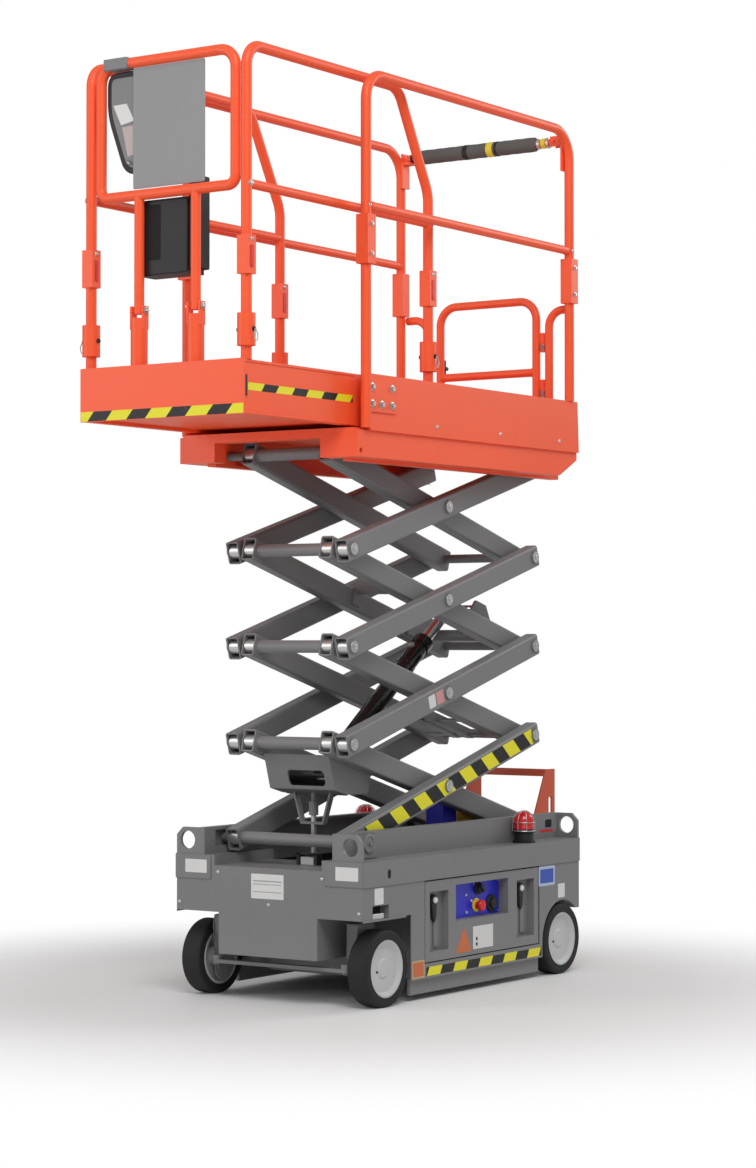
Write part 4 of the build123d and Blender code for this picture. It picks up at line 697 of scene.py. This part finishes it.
def dress_doors():
    """Latch in each recess, and the blank plates on the left door."""
    floor = SKIN - 0.026                    # floor of the recesses
    recesses = ((0.395, 0.509), (0.947, 1.062))
    outline = np.array([(0, 0.343), (0.012, 0.338), (0.016, 0.322), (0.008, 0.262), (-0.002, 0.25),
                        (-0.01, 0.262), (-0.015, 0.322), (-0.013, 0.338)])
    for side, sign in SIDES.items():
        levers, knobs, ribs = [], [], []
        for front, rear in recesses:
            x = back(front + 0.44 * (rear - front))
            levers.append(on_side(slab(outline + (x, 0), 0.0, 0.014, 0.003), floor, sign))
            knobs.append(turned([(0.0105, 0.0), (0.011, 0.003), (0.0085, 0.0065), (0.0005, 0.0078)],
                                (x, sign * (floor + 0.0135), 0.3235), sign * Y_AXIS, 28))
            x = back(front + 0.6 * (rear - front))
            rib = plate(x - 0.012, x + 0.012, 0.166, 0.262, 0.004, 0.0, 0.006, 0.002)
            ribs.append(on_side(rib, floor, sign))
        for name, shapes, finish in (("levers", levers, "black_plastic"), ("knobs", knobs, "blank_white"),
                                     ("ribs", ribs, "grey_paint")):
            piece(f"latch_{name}_{side}", shapes, finish, f"door_{side}")
    white = on_side(sticker(back(0.79), back(0.662), 0.141, 0.218), SKIN, 1)
    piece("door_plate", white, "blank_white", "door_left")
    corners = [(back(0.655), 0.137), (back(0.554), 0.137), (back(0.6045), 0.22)]
    piece("door_triangle", on_side(slab(corners, 0.0, FILM, FILM / 4), SKIN, 1), "blank_brown", "door_left")
    dots = [on_side(sticker(back(0.69), back(0.68), z, z + 0.011, 0.002), SKIN + FILM, 1)
            for z in (0.152, 0.17)]
    piece("door_plate_marks", dots, "dark_hollow", "door_left")


def dress_controls():
    """Key switch, stop button, selector knob and lamps on the plate in the left door's pocket."""
    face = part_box("control_panel")[1][1]

    def at(distance, z, proud=0.0):
        return np.array([back(distance), face + proud, z])

    def on_plate(profile, distance, z, sides):
        return turned(profile, at(distance, z), Y_AXIS, sides)

    dial_place, stop_place = (0.752, 0.34), (0.742, 0.283)
    dial = on_plate([(0.0215, 0), (0.0225, 0.002), (0.0225, 0.005), (0.018, 0.007), (0.017, 0.016),
                     (0.0155, 0.0175), (0.0005, 0.018)], *dial_place, 40)
    knob = on_plate([(0.0305, 0), (0.0305, 0.004), (0.028, 0.007), (0.02, 0.008), (0.0185, 0.016),
                     (0.0005, 0.0165)], 0.838, 0.283, 48)
    grip = placed(plate(-0.017, 0.017, -0.0045, 0.0045, 0.003, 0.0, 0.007, 0.001),
                  at(*dial_place, 0.0178), (0.7, 0, 0.714), (0.714, 0, -0.7))
    piece("control_knobs", [dial, knob, grip], "black_plastic", "door_left")
    base = on_plate([(0.0235, 0), (0.0235, 0.003), (0.0215, 0.0042), (0.0005, 0.0044)], *stop_place, 40)
    piece("stop_collar", base, "sticker_yellow", "door_left")
    stop = on_plate([(0.012, 0.004), (0.012, 0.014), (0.0185, 0.016), (0.02, 0.02), (0.02, 0.026),
                     (0.017, 0.0305), (0.0005, 0.0325)], *stop_place, 40)
    piece("stop_button", stop, "red_mould", "door_left")
    # lamps, and the marks round the dial
    marks = [on_plate([(0.0042, 0), (0.004, 0.003), (0.0005, 0.0042)], distance, z, 20)
             for distance, z in ((0.678, 0.322), (0.681, 0.262), (0.712, 0.3))]
    for a in np.radians(-60 + 45 * np.arange(5)):
        sine, cosine = math.sin(a), math.cos(a)
        centre = at(*dial_place, 0.0008) + 0.0285 * np.array([-sine, 0, cosine])
        mark = plate(-0.0012, 0.0012, -0.0035, 0.0035, 0, 0.0, FILM)
        marks.append(placed(mark, centre, (-cosine, 0, sine), (sine, 0, cosine)))
    piece("control_marks", marks, "blank_white", "door_left")
    screws = [on_plate([(0.0036, 0), (0.0034, 0.0016), (0.0005, 0.0022)], distance, z, 16)
              for distance in (0.563, 0.882) for z in (0.254, 0.359)]
    piece("control_screws", screws, "zinc", "door_left")


# ---- wheels ------------------------------------------------------------------------
def dress_wheels():
    """Sidewall rings on the tyres, and a cap and the painted shade of a small slot in each rim's dish."""
    for place in ("front_left", "front_right", "rear_left", "rear_right"):
        sign, body = SIDES[place.split("_")[1]], f"wheel_{place}"
        x, _, z = middle(f"tyre_{place}")
        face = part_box(f"tyre_{place}")[1 if sign > 0 else 0][1]
        rings = [bead((x, face - sign * 0.0012, z), Y_AXIS, radius, 0.0018) for radius in (0.1005, 0.1105)]
        piece(f"sidewall_{place}", rings, "tyre", body)
        # painted shade: a dark film standing in for the shade inside a small slot in the rim's dish
        slot = plate(x + 0.02, x + 0.041, z - 0.012, z - 0.005, 0.003, 0.0, 0.0009, 0.0002)
        piece(f"rim_slot_shade_{place}", on_side(slot, face - sign * 0.0165, sign), "dark_hollow", body)
        cap = turned([(0.0235, 0), (0.0225, 0.0016), (0.008, 0.0022), (0.0005, 0.0023)],
                     (x, face - sign * 0.0186, z), sign * Y_AXIS, 40)
        piece(f"hub_cap_{place}", cap, "rim_paint", body)


def dress_knuckles():
    """Pressed leg of each steered wheel's fork: a plate beside the tyre, rounded at its foot.

    It has a flange along its front edge and a cap over the tyre.
    """
    foot, foot_radius, top = 0.088, 0.046, 0.268
    a = np.linspace(0, -math.pi, 13)
    for side, sign in SIDES.items():
        x = joint_place(f"steer_{side}")[0]
        round_foot = np.column_stack([x + foot_radius * np.cos(a), foot + foot_radius * np.sin(a)])
        outline = np.concatenate([round_foot, [(x - 0.052, 0.235), (x - 0.04, top), (x + 0.048, top),
                                               (x + 0.056, 0.235)]])
        leg = on_side(slab(outline[::-1], 0.0, 0.0055, 0.0012), FORK_FACE, sign)
        # flange: from the plate's front edge inwards, its lower end cut to a slant
        flange = slab([(0.25, top), (0.25, 0.16), (0.262, 0.14), (0.2925, 0.128), (0.2925, top)],
                      -0.0025, 0.0025, 0.001)
        points, faces = on_front(flange, 0.0)
        lean = np.interp(points[:, 2], [0.07, 0.12, 0.235, top], [0.042, 0.0475, 0.0545, 0.0485])
        flange = np.column_stack([x + lean + points[:, 0], sign * points[:, 1], points[:, 2]]), faces
        points, faces = on_top(plate(x - 0.04, x + 0.048, 0.24, 0.294, 0.01, 0.0, 0.005, 0.001), 0.264)
        cap = points * (1, sign, 1), faces
        piece(f"fork_leg_{side}", [leg, flange, cap], "grey_paint", f"knuckle_{side}")


# ---- scissor stack -------------------------------------------------------------------
def pin_disc(centre, out):
    """Light washer with a low screw on a pin's head."""
    disc = turned([(0.0195, 0), (0.02, 0.0005), (0.0195, 0.0011), (0.0105, 0.0013), (0.0098, 0.0005)],
                  centre, out, 36)
    screw = turned([(0.0072, 0.0004), (0.0072, 0.0022), (0.006, 0.0027), (0.0005, 0.0027)],
                   centre, out, 24, 6)
    return joined(disc, screw)


def dress_arms():
    """Bushes in the arm ends, welds round the cross tubes, discs on the pins, and the stickers."""
    for level in range(LEVELS):
        for kind, face in (("outer", ARM_FACE), ("inner", ARM_FACE - 0.064)):
            body = f"{kind}_arms_{level + 1}"
            front, along, _ = arm_axes(level, kind == "outer")
            rear = front + 2 * HALF_ARM * along
            bushes = [collar(BOSS, BOSS + 0.0012, 0.0198, 0.0013, at_y(point, face - 0.0255), Y_AXIS, 36)
                      for point in (front, rear)]
            piece(f"bushes_{kind}_{level + 1}", both_sides(*bushes), "zinc", body)
        # what follows is on the inner arms, the last of the two
        beads = [bead(at_y(front, face - 0.052), Y_AXIS, 0.0215, 0.003)]
        points = [joint_place(f"scissor_{level + 1}")]
        if level < LEVELS - 1:
            points.append(front)
        if level > 0:
            beads.append(bead(at_y(rear, face - 0.052), Y_AXIS, 0.0165, 0.003))
            points.append(rear)
        piece(f"welds_inner_{level + 1}", both_sides(*beads), "grey_paint", body)
        discs = [pin_disc(at_y(point, sign * HEAD_FACE), sign * Y_AXIS)
                 for point in points for sign in SIDES.values()]
        piece(f"pin_discs_{level + 1}", discs, "zinc", body)
    rod = turned([(0.0094, 0.474), (0.0094, 0.601)], (back(0.26), 0, 0), Z_AXIS, 24)
    piece("guide_rod_plating", rod, "zinc", "inner_arms_1")
    for name, level, shape, finish in (
            ("arm_stripes", 0, sticker(0.075, 1.17, -0.0275, 0.0275, 0), "arm_stripes"),
            ("arm_plate_pale", 1, sticker(0.47, 0.512, -0.022, 0.022), "blank_white"),
            ("arm_plate_red", 1, sticker(0.52, 0.566, -0.022, 0.022), "blank_pink")):
        front, along, square = arm_axes(level, True)
        flat = placed(shape, at_y(front, ARM_FACE), along, square)
        uv = flat_uv(shape, 2) if finish == "arm_stripes" else None
        piece(name, both_sides(flat), finish, f"outer_arms_{level + 1}", uv=uv)


def dress_cylinder():
    """Hard line, clamps, ports and wiper of the lift cylinder."""
    foot = joint_place("barrel_swing")
    along = np.array(joints["rod_slide"]["axis"], float)
    along *= -math.copysign(1.0, along[0])
    up = np.array([along[2], 0.0, -along[0]])
    up *= math.copysign(1.0, up[2])

    def at(distance, side=0.0):
        return foot + along * distance + Y_AXIS * side

    line = rounded([at(0.7, 0.03), at(0.694, 0.0385), at(0.176, 0.0385), at(0.17, 0.03)], 0.006, 8)
    piece("cylinder_line", tube(line, 0.0048, 12), "black_paint", "cylinder_barrel")
    bands = [collar(0.0335, 0.0352, 0.01, 0.001, at(distance), along, 48) for distance in (0.2, 0.42, 0.64)]
    piece("cylinder_clamps", bands, "black_paint", "cylinder_barrel")
    ports = [turned([(0.01, 0.028), (0.01, 0.041), (0.008, 0.043), (0.0005, 0.0435)],
                    at(distance), up, 24, 6) for distance in (0.105, 0.715)]
    piece("cylinder_ports", ports, "zinc", "cylinder_barrel")
    wiper = turned([(0.0225, -0.006), (0.03, -0.004), (0.03, 0.0015), (0.0222, 0.004)],
                   at(0.786), along, 44)
    piece("cylinder_wiper", wiper, "rubber", "cylinder_barrel")


# ---- platform --------------------------------------------------------------------------
def lozenges(x0, x1, half, z, pitch=0.033):
    """Tread plate: low diamonds, turned one way and the other by turns, on a square grid."""
    length, width, height = 0.0125, 0.004, 0.0012
    outline = np.array([(length, 0), (length * 0.4, width), (-length * 0.4, width), (-length, 0),
                        (-length * 0.4, -width), (length * 0.4, -width)])
    nx, ny = int((x1 - x0) / pitch), int(2 * half / pitch)
    gx, gy = (grid.ravel() for grid in np.meshgrid(np.arange(nx), np.arange(ny), indexing="ij"))
    shapes = []
    for parity, a in enumerate((-math.pi / 4, math.pi / 4)):
        turn = np.array([[math.cos(a), math.sin(a)], [-math.sin(a), math.cos(a)]])
        base = outline @ turn
        low = np.column_stack([base, np.full(6, -0.0004)])
        top = np.column_stack([base * 0.7, np.full(6, height)])
        places = np.column_stack([x0 + (gx + 0.5) * pitch, (gy + 0.5) * pitch - half, np.full(nx * ny, z)])
        shapes.append(repeated(skin(np.stack([low, top])), places[(gx + gy) % 2 == parity]))
    return joined(*shapes)


def dress_platform():
    tread = lozenges(back(1.365), back(0.08), 0.27, DECK_Z)
    piece("deck_tread", tread, "orange_paint", "platform", 20.0)
    # bolts of the five-bolt plates, rivets of the walls, bolts of the rail sleeves and the mid rails
    bolts = [bolt_head((back(distance), WALL_FACE, z), Y_AXIS, 0.0075)
             for distance, z in ((0.058, 1.95), (0.058, 2.005), (0.112, 1.95),
                                 (0.172, 1.95), (0.172, 2.005))]
    bolts += [round_head((back(distance), 0.37, 1.9), Y_AXIS, 0.007) for distance in (0.45, 0.85, 1.25)]
    for x in (back(0.038), back(1.331)):
        bolts += [bolt_head((x, POST_FACE, MID_Z - drop), Y_AXIS, 0.005) for drop in (0.062, 0.158)]
        bolts.append(round_head((x, 0.3815, MID_Z), Y_AXIS, 0.0075))
    piece("platform_bolts", both_sides(*bolts), "zinc", "platform")
    # weld beads where the mid rails meet the posts
    welds = [bead((back(distance), 0.365, MID_Z), X_AXIS, 0.015) for distance in (0.0555, 1.3135)]
    piece("rail_welds", both_sides(*welds), "orange_paint", "platform")
    # springs on the gate's hinges: six turns, 26 mm high
    turns = np.linspace(0, 2 * math.pi * 6, 120)
    springs = [tube(np.column_stack([GATE_X + 0.0108 * np.cos(turns), 0.235 + 0.0108 * np.sin(turns),
                                     z - 0.03 + 0.026 * turns / turns[-1]]), 0.0014, 6)
               for z in (2.1, 2.27)]
    piece("gate_springs", springs, "zinc", "platform")


def dress_gate():
    latch = [on_front(plate(-0.222, -0.196, 2.172, 2.232, 0.005, -0.021, -0.015, 0.002), GATE_X),
             turned([(0.0075, -0.045), (0.0075, -0.024), (0.011, -0.022), (0.011, -0.016)],
                    (GATE_X, -0.209, 2.202), X_AXIS, 24)]
    piece("gate_latch", latch, "black_plastic", "gate")
    weld = bead((GATE_X, 0.1935, 2.163), Y_AXIS, 0.015, 0.0026)
    piece("gate_welds", both_sides(weld), "orange_paint", "gate")


def dress_padded_bar():
    """Foam sleeve with a faint swell and rounded ends, and the bands and collars on the bar."""
    low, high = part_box("drop_bar_foam")
    x, _, z = middle("drop_bar_foam")
    radius = 0.027
    length = high[1] - low[1]
    t = np.linspace(0, 1, 61)
    # radius: full in the middle, drawn in over the last 12 mm as a quarter circle
    from_end = np.minimum(t, 1 - t) * length
    shoulder = np.sqrt(np.clip(1 - (1 - np.clip(from_end / 0.012, 0, 1)) ** 2, 0, 1))
    swell = 0.0004 * np.sin(t * math.pi * 22)
    outer = (radius - 0.0006) * (0.72 + 0.28 * shoulder) + swell
    profile = np.column_stack([outer, low[1] + t * length])
    profile = np.concatenate([[(BAR, low[1] + 0.0005)], profile, [(BAR, high[1] - 0.0005)]])
    foam = piece("foam_sleeve", turned(profile, (x, 0, z), Y_AXIS, 48), "foam", "drop_bar", 60.0)
    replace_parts(foam, "drop_bar_foam")
    bands = ((0.038, 0.028, "sticker_yellow"), (0.064, 0.01, "black_plastic"),
             (-0.068, 0.022, "black_plastic"))
    for k, (y, width, finish) in enumerate(bands):
        band = collar(radius - 0.002, radius + 0.0004, width / 2, 0.0008, (x, y, z), Y_AXIS, 48)
        piece(f"foam_band_{k + 1}", band, finish, "drop_bar")
    collars = [collar(BAR, 0.0195, 0.006, 0.001, (x, y, z), Y_AXIS, 36) for y in (0.243, 0.281)]
    piece("bar_collars", collars, "zinc", "drop_bar")
    tag = collar(BAR, 0.0185, 0.009, 0.001, (x, 0.262, z), Y_AXIS, 36)
    piece("bar_tag", tag, "sticker_yellow", "drop_bar")
    grip = collar(BAR, 0.0172, 0.018, 0.002, (x, -0.296, z), Y_AXIS, 32)
    piece("bar_grip", grip, "black_plastic", "drop_bar")


def dress_extension():
    band = sticker(-0.3235, 0.3235, 1.8815, 1.912, 0)
    piece("front_stripes", on_front(band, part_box("extension_deck")[1][0]), "front_stripes", "extension",
          uv=flat_uv(band))
    band = sticker(back(0.03), back(-0.5305), 1.954, 1.9775, 0)
    piece("side_stripes", on_both(band, ROLL_OUT_FACE), "side_stripes", "extension", uv=flat_uv(band, 2))
    # flanges along the roll-out walls, and the black stop behind the front plate
    flanges = [plate(back(0.04), back(-0.5525), v0, v1, 0.002, -0.002, 0.0035, 0.001)
               for v0, v1 in ((2.04, 2.0478), (1.8808, 1.889))]
    piece("wall_flanges", on_both(joined(*flanges), ROLL_OUT_FACE), "orange_paint", "extension")
    stop = plate(back(-0.552), back(-0.54), 1.936, 2.000, 0.002, -0.001, 0.006, 0.001)
    piece("wall_stops", on_both(stop, ROLL_OUT_FACE), "black_plastic", "extension")
    tread = lozenges(back(0.54), back(-0.545), 0.275, ROLL_OUT_Z)
    piece("roll_out_tread", tread, "orange_paint", "extension", 20.0)
    # sleeves of the guardrails' posts: screws and red tabs on both faces, lock pin and its ring
    bolts, tabs, pins, rings = [], [], [], []
    for x in (back(-0.527), back(0.488)):
        for sign in SIDES.values():
            y = ROLL_OUT_RAIL + sign * 0.021
            bolts.append(round_head((x, y, 2.4175), sign * Y_AXIS, 0.0075))
            tab = plate(x - 0.0075, x + 0.0075, 2.33, 2.398, 0.003, 0.0, 0.0025, 0.0006)
            tabs.append(on_side((tab[0] * (1, 1, sign), tab[1]), y, 1))
        bolts.append(bolt_head((x, ROLL_OUT_RAIL + 0.0165, MID_Z), Y_AXIS, 0.006))
        pins.append(collar(0.007, 0.0078, 0.0335, 0.0015, (x, ROLL_OUT_RAIL, 2.14), Y_AXIS, 20))
        ring = rounded([(x, 0.3435, 2.142), (x + 0.012, 0.3465, 2.12), (x, 0.3475, 2.098),
                        (x - 0.012, 0.3465, 2.12), (x, 0.3435, 2.142)], 0.012)
        rings.append(tube(ring, 0.0016, 8))
    for name, shapes, finish in (("sleeve_bolts", bolts, "zinc"), ("sleeve_tabs", tabs, "red_mould"),
                                 ("lock_pins", pins, "black_plastic"), ("lock_rings", rings, "zinc")):
        piece(name, both_sides(*shapes), finish, "extension")
    # hinge bolts of the front rail's legs
    x, _, z = joint_place("front_rail_fold")
    heads = [bolt_head((x, 0.1126 + side * 0.0275, z), side * Y_AXIS, 0.0065) for side in SIDES.values()]
    piece("hinge_bolts", both_sides(*heads), "zinc", "extension")


def dress_front_rail():
    """Controls and their shield in the front rail's loop, and the moulded document box under them."""
    body = "front_rail"
    tube_x = joint_place("front_rail_fold")[0]
    front, rear = tube_x - 0.0045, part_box("control_console")[0][0]
    cap = on_front(plate(-0.246, -0.15, 2.9925, 3.03, 0.004, -0.0205, 0.0205, 0.003), tube_x)
    piece("console_cap", cap, "grey_paint", body)
    # shell: its outline in y and z, the same all the way back but cut down to a slope behind
    outline = rounded([(-0.15, 2.9895), (-0.2495, 2.9895), (-0.2495, 2.855), (-0.178, 2.66),
                       (-0.06, 2.66), (-0.06, 2.9895), (-0.12, 2.9895)], 0.045, 9)
    rings = []
    for x, draw, top in ((front, 0.004, 3.0), (front - 0.004, 0.0, 3.0), (rear + 0.042, 0.0, 3.0),
                         (rear + 0.003, 0.0, 2.92), (rear, 0.004, 2.916)):
        ring = inset(outline, draw)
        rings.append(np.column_stack([np.full(len(ring), x), ring[:, 0], np.minimum(ring[:, 1], top)]))
    shell = piece("console_shell", skin(np.stack(rings)), "black_plastic", body)
    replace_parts(shell, "control_console")
    thickness = 0.0016
    face = on_front(slab(inset(outline, 0.02)[::-1], 0.0, thickness), front)
    piece("console_face", face, "grey_paint", body)
    for name, corners, finish in (
            ("console_plate", [(-0.222, 2.884), (-0.19, 2.819), (-0.136, 2.829), (-0.168, 2.886)],
             "blank_white"),
            ("console_panel", [(-0.186, 2.812), (-0.163, 2.716), (-0.139, 2.722), (-0.139, 2.815)],
             "blank_rose")):
        piece(name, on_front(slab(corners, 0.0, FILM, FILM / 4), front + thickness), finish, body)
    # joystick and stop button on the slope
    slope = np.array([-0.07, 0, 0.039])
    slope /= np.linalg.norm(slope)
    stick_place, stop_place = (rear + 0.0225, -0.115, 2.955), (rear + 0.0225, -0.19, 2.955)
    boot = turned([(0.022, -0.004), (0.021, 0.004), (0.017, 0.008), (0.018, 0.012), (0.013, 0.018),
                   (0.012, 0.022)], stick_place, slope, 32)
    stick = turned([(0.007, 0.018), (0.007, 0.045), (0.013, 0.052), (0.0155, 0.07), (0.014, 0.092),
                    (0.01, 0.1), (0.0005, 0.102)], stick_place, slope, 28)
    piece("joystick", [boot, stick], "black_plastic", body)
    base = turned([(0.017, -0.003), (0.017, 0.002), (0.015, 0.003), (0.0005, 0.003)],
                  stop_place, slope, 32)
    piece("console_stop_collar", base, "sticker_yellow", body)
    stop = turned([(0.009, 0.002), (0.009, 0.01), (0.0145, 0.012), (0.015, 0.018), (0.012, 0.022),
                   (0.0005, 0.023)], stop_place, slope, 32)
    piece("console_stop", stop, "red_mould", body)
    lever = rounded([(front - 0.004, -0.172, 2.706), (front + 0.008, -0.16, 2.7),
                     (front + 0.01, -0.146, 2.69)], 0.008)
    piece("console_lever", tube(lever, 0.0045, 12), "zinc", body)
    # shield: flat sheet with small round corners
    sheet = on_front(plate(-0.137, 0.148, 2.61, 2.9935, 0.006, -0.002, 0.002, 0.0006), tube_x)
    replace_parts(piece("shield_sheet", sheet, "shield_grey", body), "control_shield")
    # document box: a raised front with painted shade for a deep well, and a side pocket
    low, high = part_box("document_box")
    proud = 0.0035
    raised = plate(low[1] + 0.002, high[1] - 0.002, low[2] + 0.003, high[2] - 0.004, 0.01,
                   -0.002, proud, 0.002)
    piece("box_front", on_front(raised, high[0]), "black_plastic", body)
    # painted shade: a dark film standing in for the shade inside the deep well
    well_shade = plate(low[1] + 0.016, low[1] + 0.088, low[2] + 0.048, high[2] - 0.016, 0.006,
                 0.0, 0.0005, 0.0002)
    piece("box_well", on_front(well_shade, high[0] + proud), "dark_hollow", body)
    pocket = plate(low[0] + 0.002, high[0] - 0.004, low[2] + 0.014, 2.64, 0.006, -0.002, 0.026, 0.003)
    piece("box_pocket", on_side(pocket, high[1], 1), "black_plastic", body)


def dress_step():
    x0, x1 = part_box("entry_step")[0][0] + 0.006, REAR - 0.016
    treads = [lozenges(x0, x1, 0.15, z, 0.03) for z in (0.228, 0.471)]
    piece("step_tread", treads, "step_orange", "chassis", 20.0)
    bolts = [bolt_head((x1 - 0.006, 0.163, z), Y_AXIS, 0.0065) for z in (0.25, 0.4)]
    piece("step_bolts", both_sides(*bolts), "zinc", "chassis")


# ---- camera, light and floor ----------------------------------------------------
CAMERA_PLACE = (FRONT + 7.331, 5.433, 1.19)
CAMERA_TURN, CAMERA_LIFT = math.radians(34.27), math.radians(1.144)
SENSOR = 36.0
FOCAL = 2784.15 / 1168 * SENSOR             # focal length over picture height, times the sensor's
WORLD_LEVEL = 0.4
KEY_POWER, FILL_POWER = 300.0, 115.0


def add_camera():
    """Camera at the front left, a little over the chassis, looking almost level."""
    data = bpy.data.cameras.new("camera")
    data.sensor_width = SENSOR
    data.lens = FOCAL
    made = in_scene(bpy.data.objects.new("camera", data))
    made.location = CAMERA_PLACE
    made.rotation_euler = (math.pi / 2 + CAMERA_LIFT, 0.0, math.pi / 2 + CAMERA_TURN)
    bpy.context.scene.camera = made


def area_light(name, place, aim_z, size, power):
    """Rectangular light aimed at a height on the Z axis."""
    data = bpy.data.lights.new(name, "AREA")
    data.shape = "RECTANGLE"
    data.size, data.size_y = size
    data.energy = power
    made = in_scene(bpy.data.objects.new(name, data))
    made.location = place
    made.rotation_mode = "QUATERNION"
    made.rotation_quaternion = (Vector((0, 0, aim_z)) - Vector(place)).to_track_quat("-Z", "Y")


def add_world():
    """Even studio grey for the object, white where the camera looks past it."""
    world = bpy.data.worlds.new("studio")
    bpy.context.scene.world = world
    world.use_nodes = True
    graph = Graph(world.node_tree)
    path = graph.add("LightPath")
    seen = graph.math("MAXIMUM", path["Is Camera Ray"], path["Is Transmission Ray"])
    strength = graph.add("Mix", {0: seen, 2: WORLD_LEVEL, 3: 1.0})[0]
    graph.feed(graph.nodes["Background"].inputs, {"Strength": strength, "Color": (1, 1, 1)})


def add_floor():
    """Pale round floor that keeps the machine's shadow and turns to plain white away from it."""
    points, faces = turned([(40.0, -0.02), (40.0, 0.0), (0.001, 0.0)], (0, 0, 0), Z_AXIS, 96)
    material, graph, shader = new_material("floor")
    graph.feed(shader, {"Base Color": (0.9, 0.9, 0.9), "Roughness": 0.55})
    reach = graph.add("VectorMath", {0: graph.here()}, operation="LENGTH")["Value"]
    ramp = graph.add("MapRange", {"Value": reach, "From Min": 1.0, "From Max": 2.6},
                     interpolation_type="SMOOTHSTEP")["Result"]
    away = graph.times(ramp, graph.add("LightPath")["Is Camera Ray"])
    principled = graph.nodes["Principled BSDF"].outputs[0]
    blend = graph.add("MixShader", {0: away, 1: principled, 2: graph.add("Emission")[0]})[0]
    graph.feed(graph.nodes["Material Output"].inputs, {"Surface": blend})
    data = bpy.data.meshes.new("floor")
    data.from_pydata(points.tolist(), [], faces)
    data.materials.append(material)
    in_scene(bpy.data.objects.new("floor", data))


finish_nodes()
for dress in (dress_chassis, dress_beacons, dress_power_unit, dress_doors, dress_controls, dress_wheels,
              dress_knuckles, dress_arms, dress_cylinder, dress_platform, dress_gate, dress_padded_bar,
              dress_extension, dress_front_rail, dress_step, add_camera, add_world, add_floor):
    dress()
area_light("key", (4.5, 4.0, 6.5), 1.2, (4.0, 4.0), KEY_POWER)
area_light("fill", (6.0, -5.0, 3.0), 1.2, (3.0, 4.0), FILL_POWER)
area_light("rim", (-6.0, 3.0, 4.5), 1.4, (3.0, 3.0), FILL_POWER)

bpy.context.scene.view_settings.view_transform = "Standard"
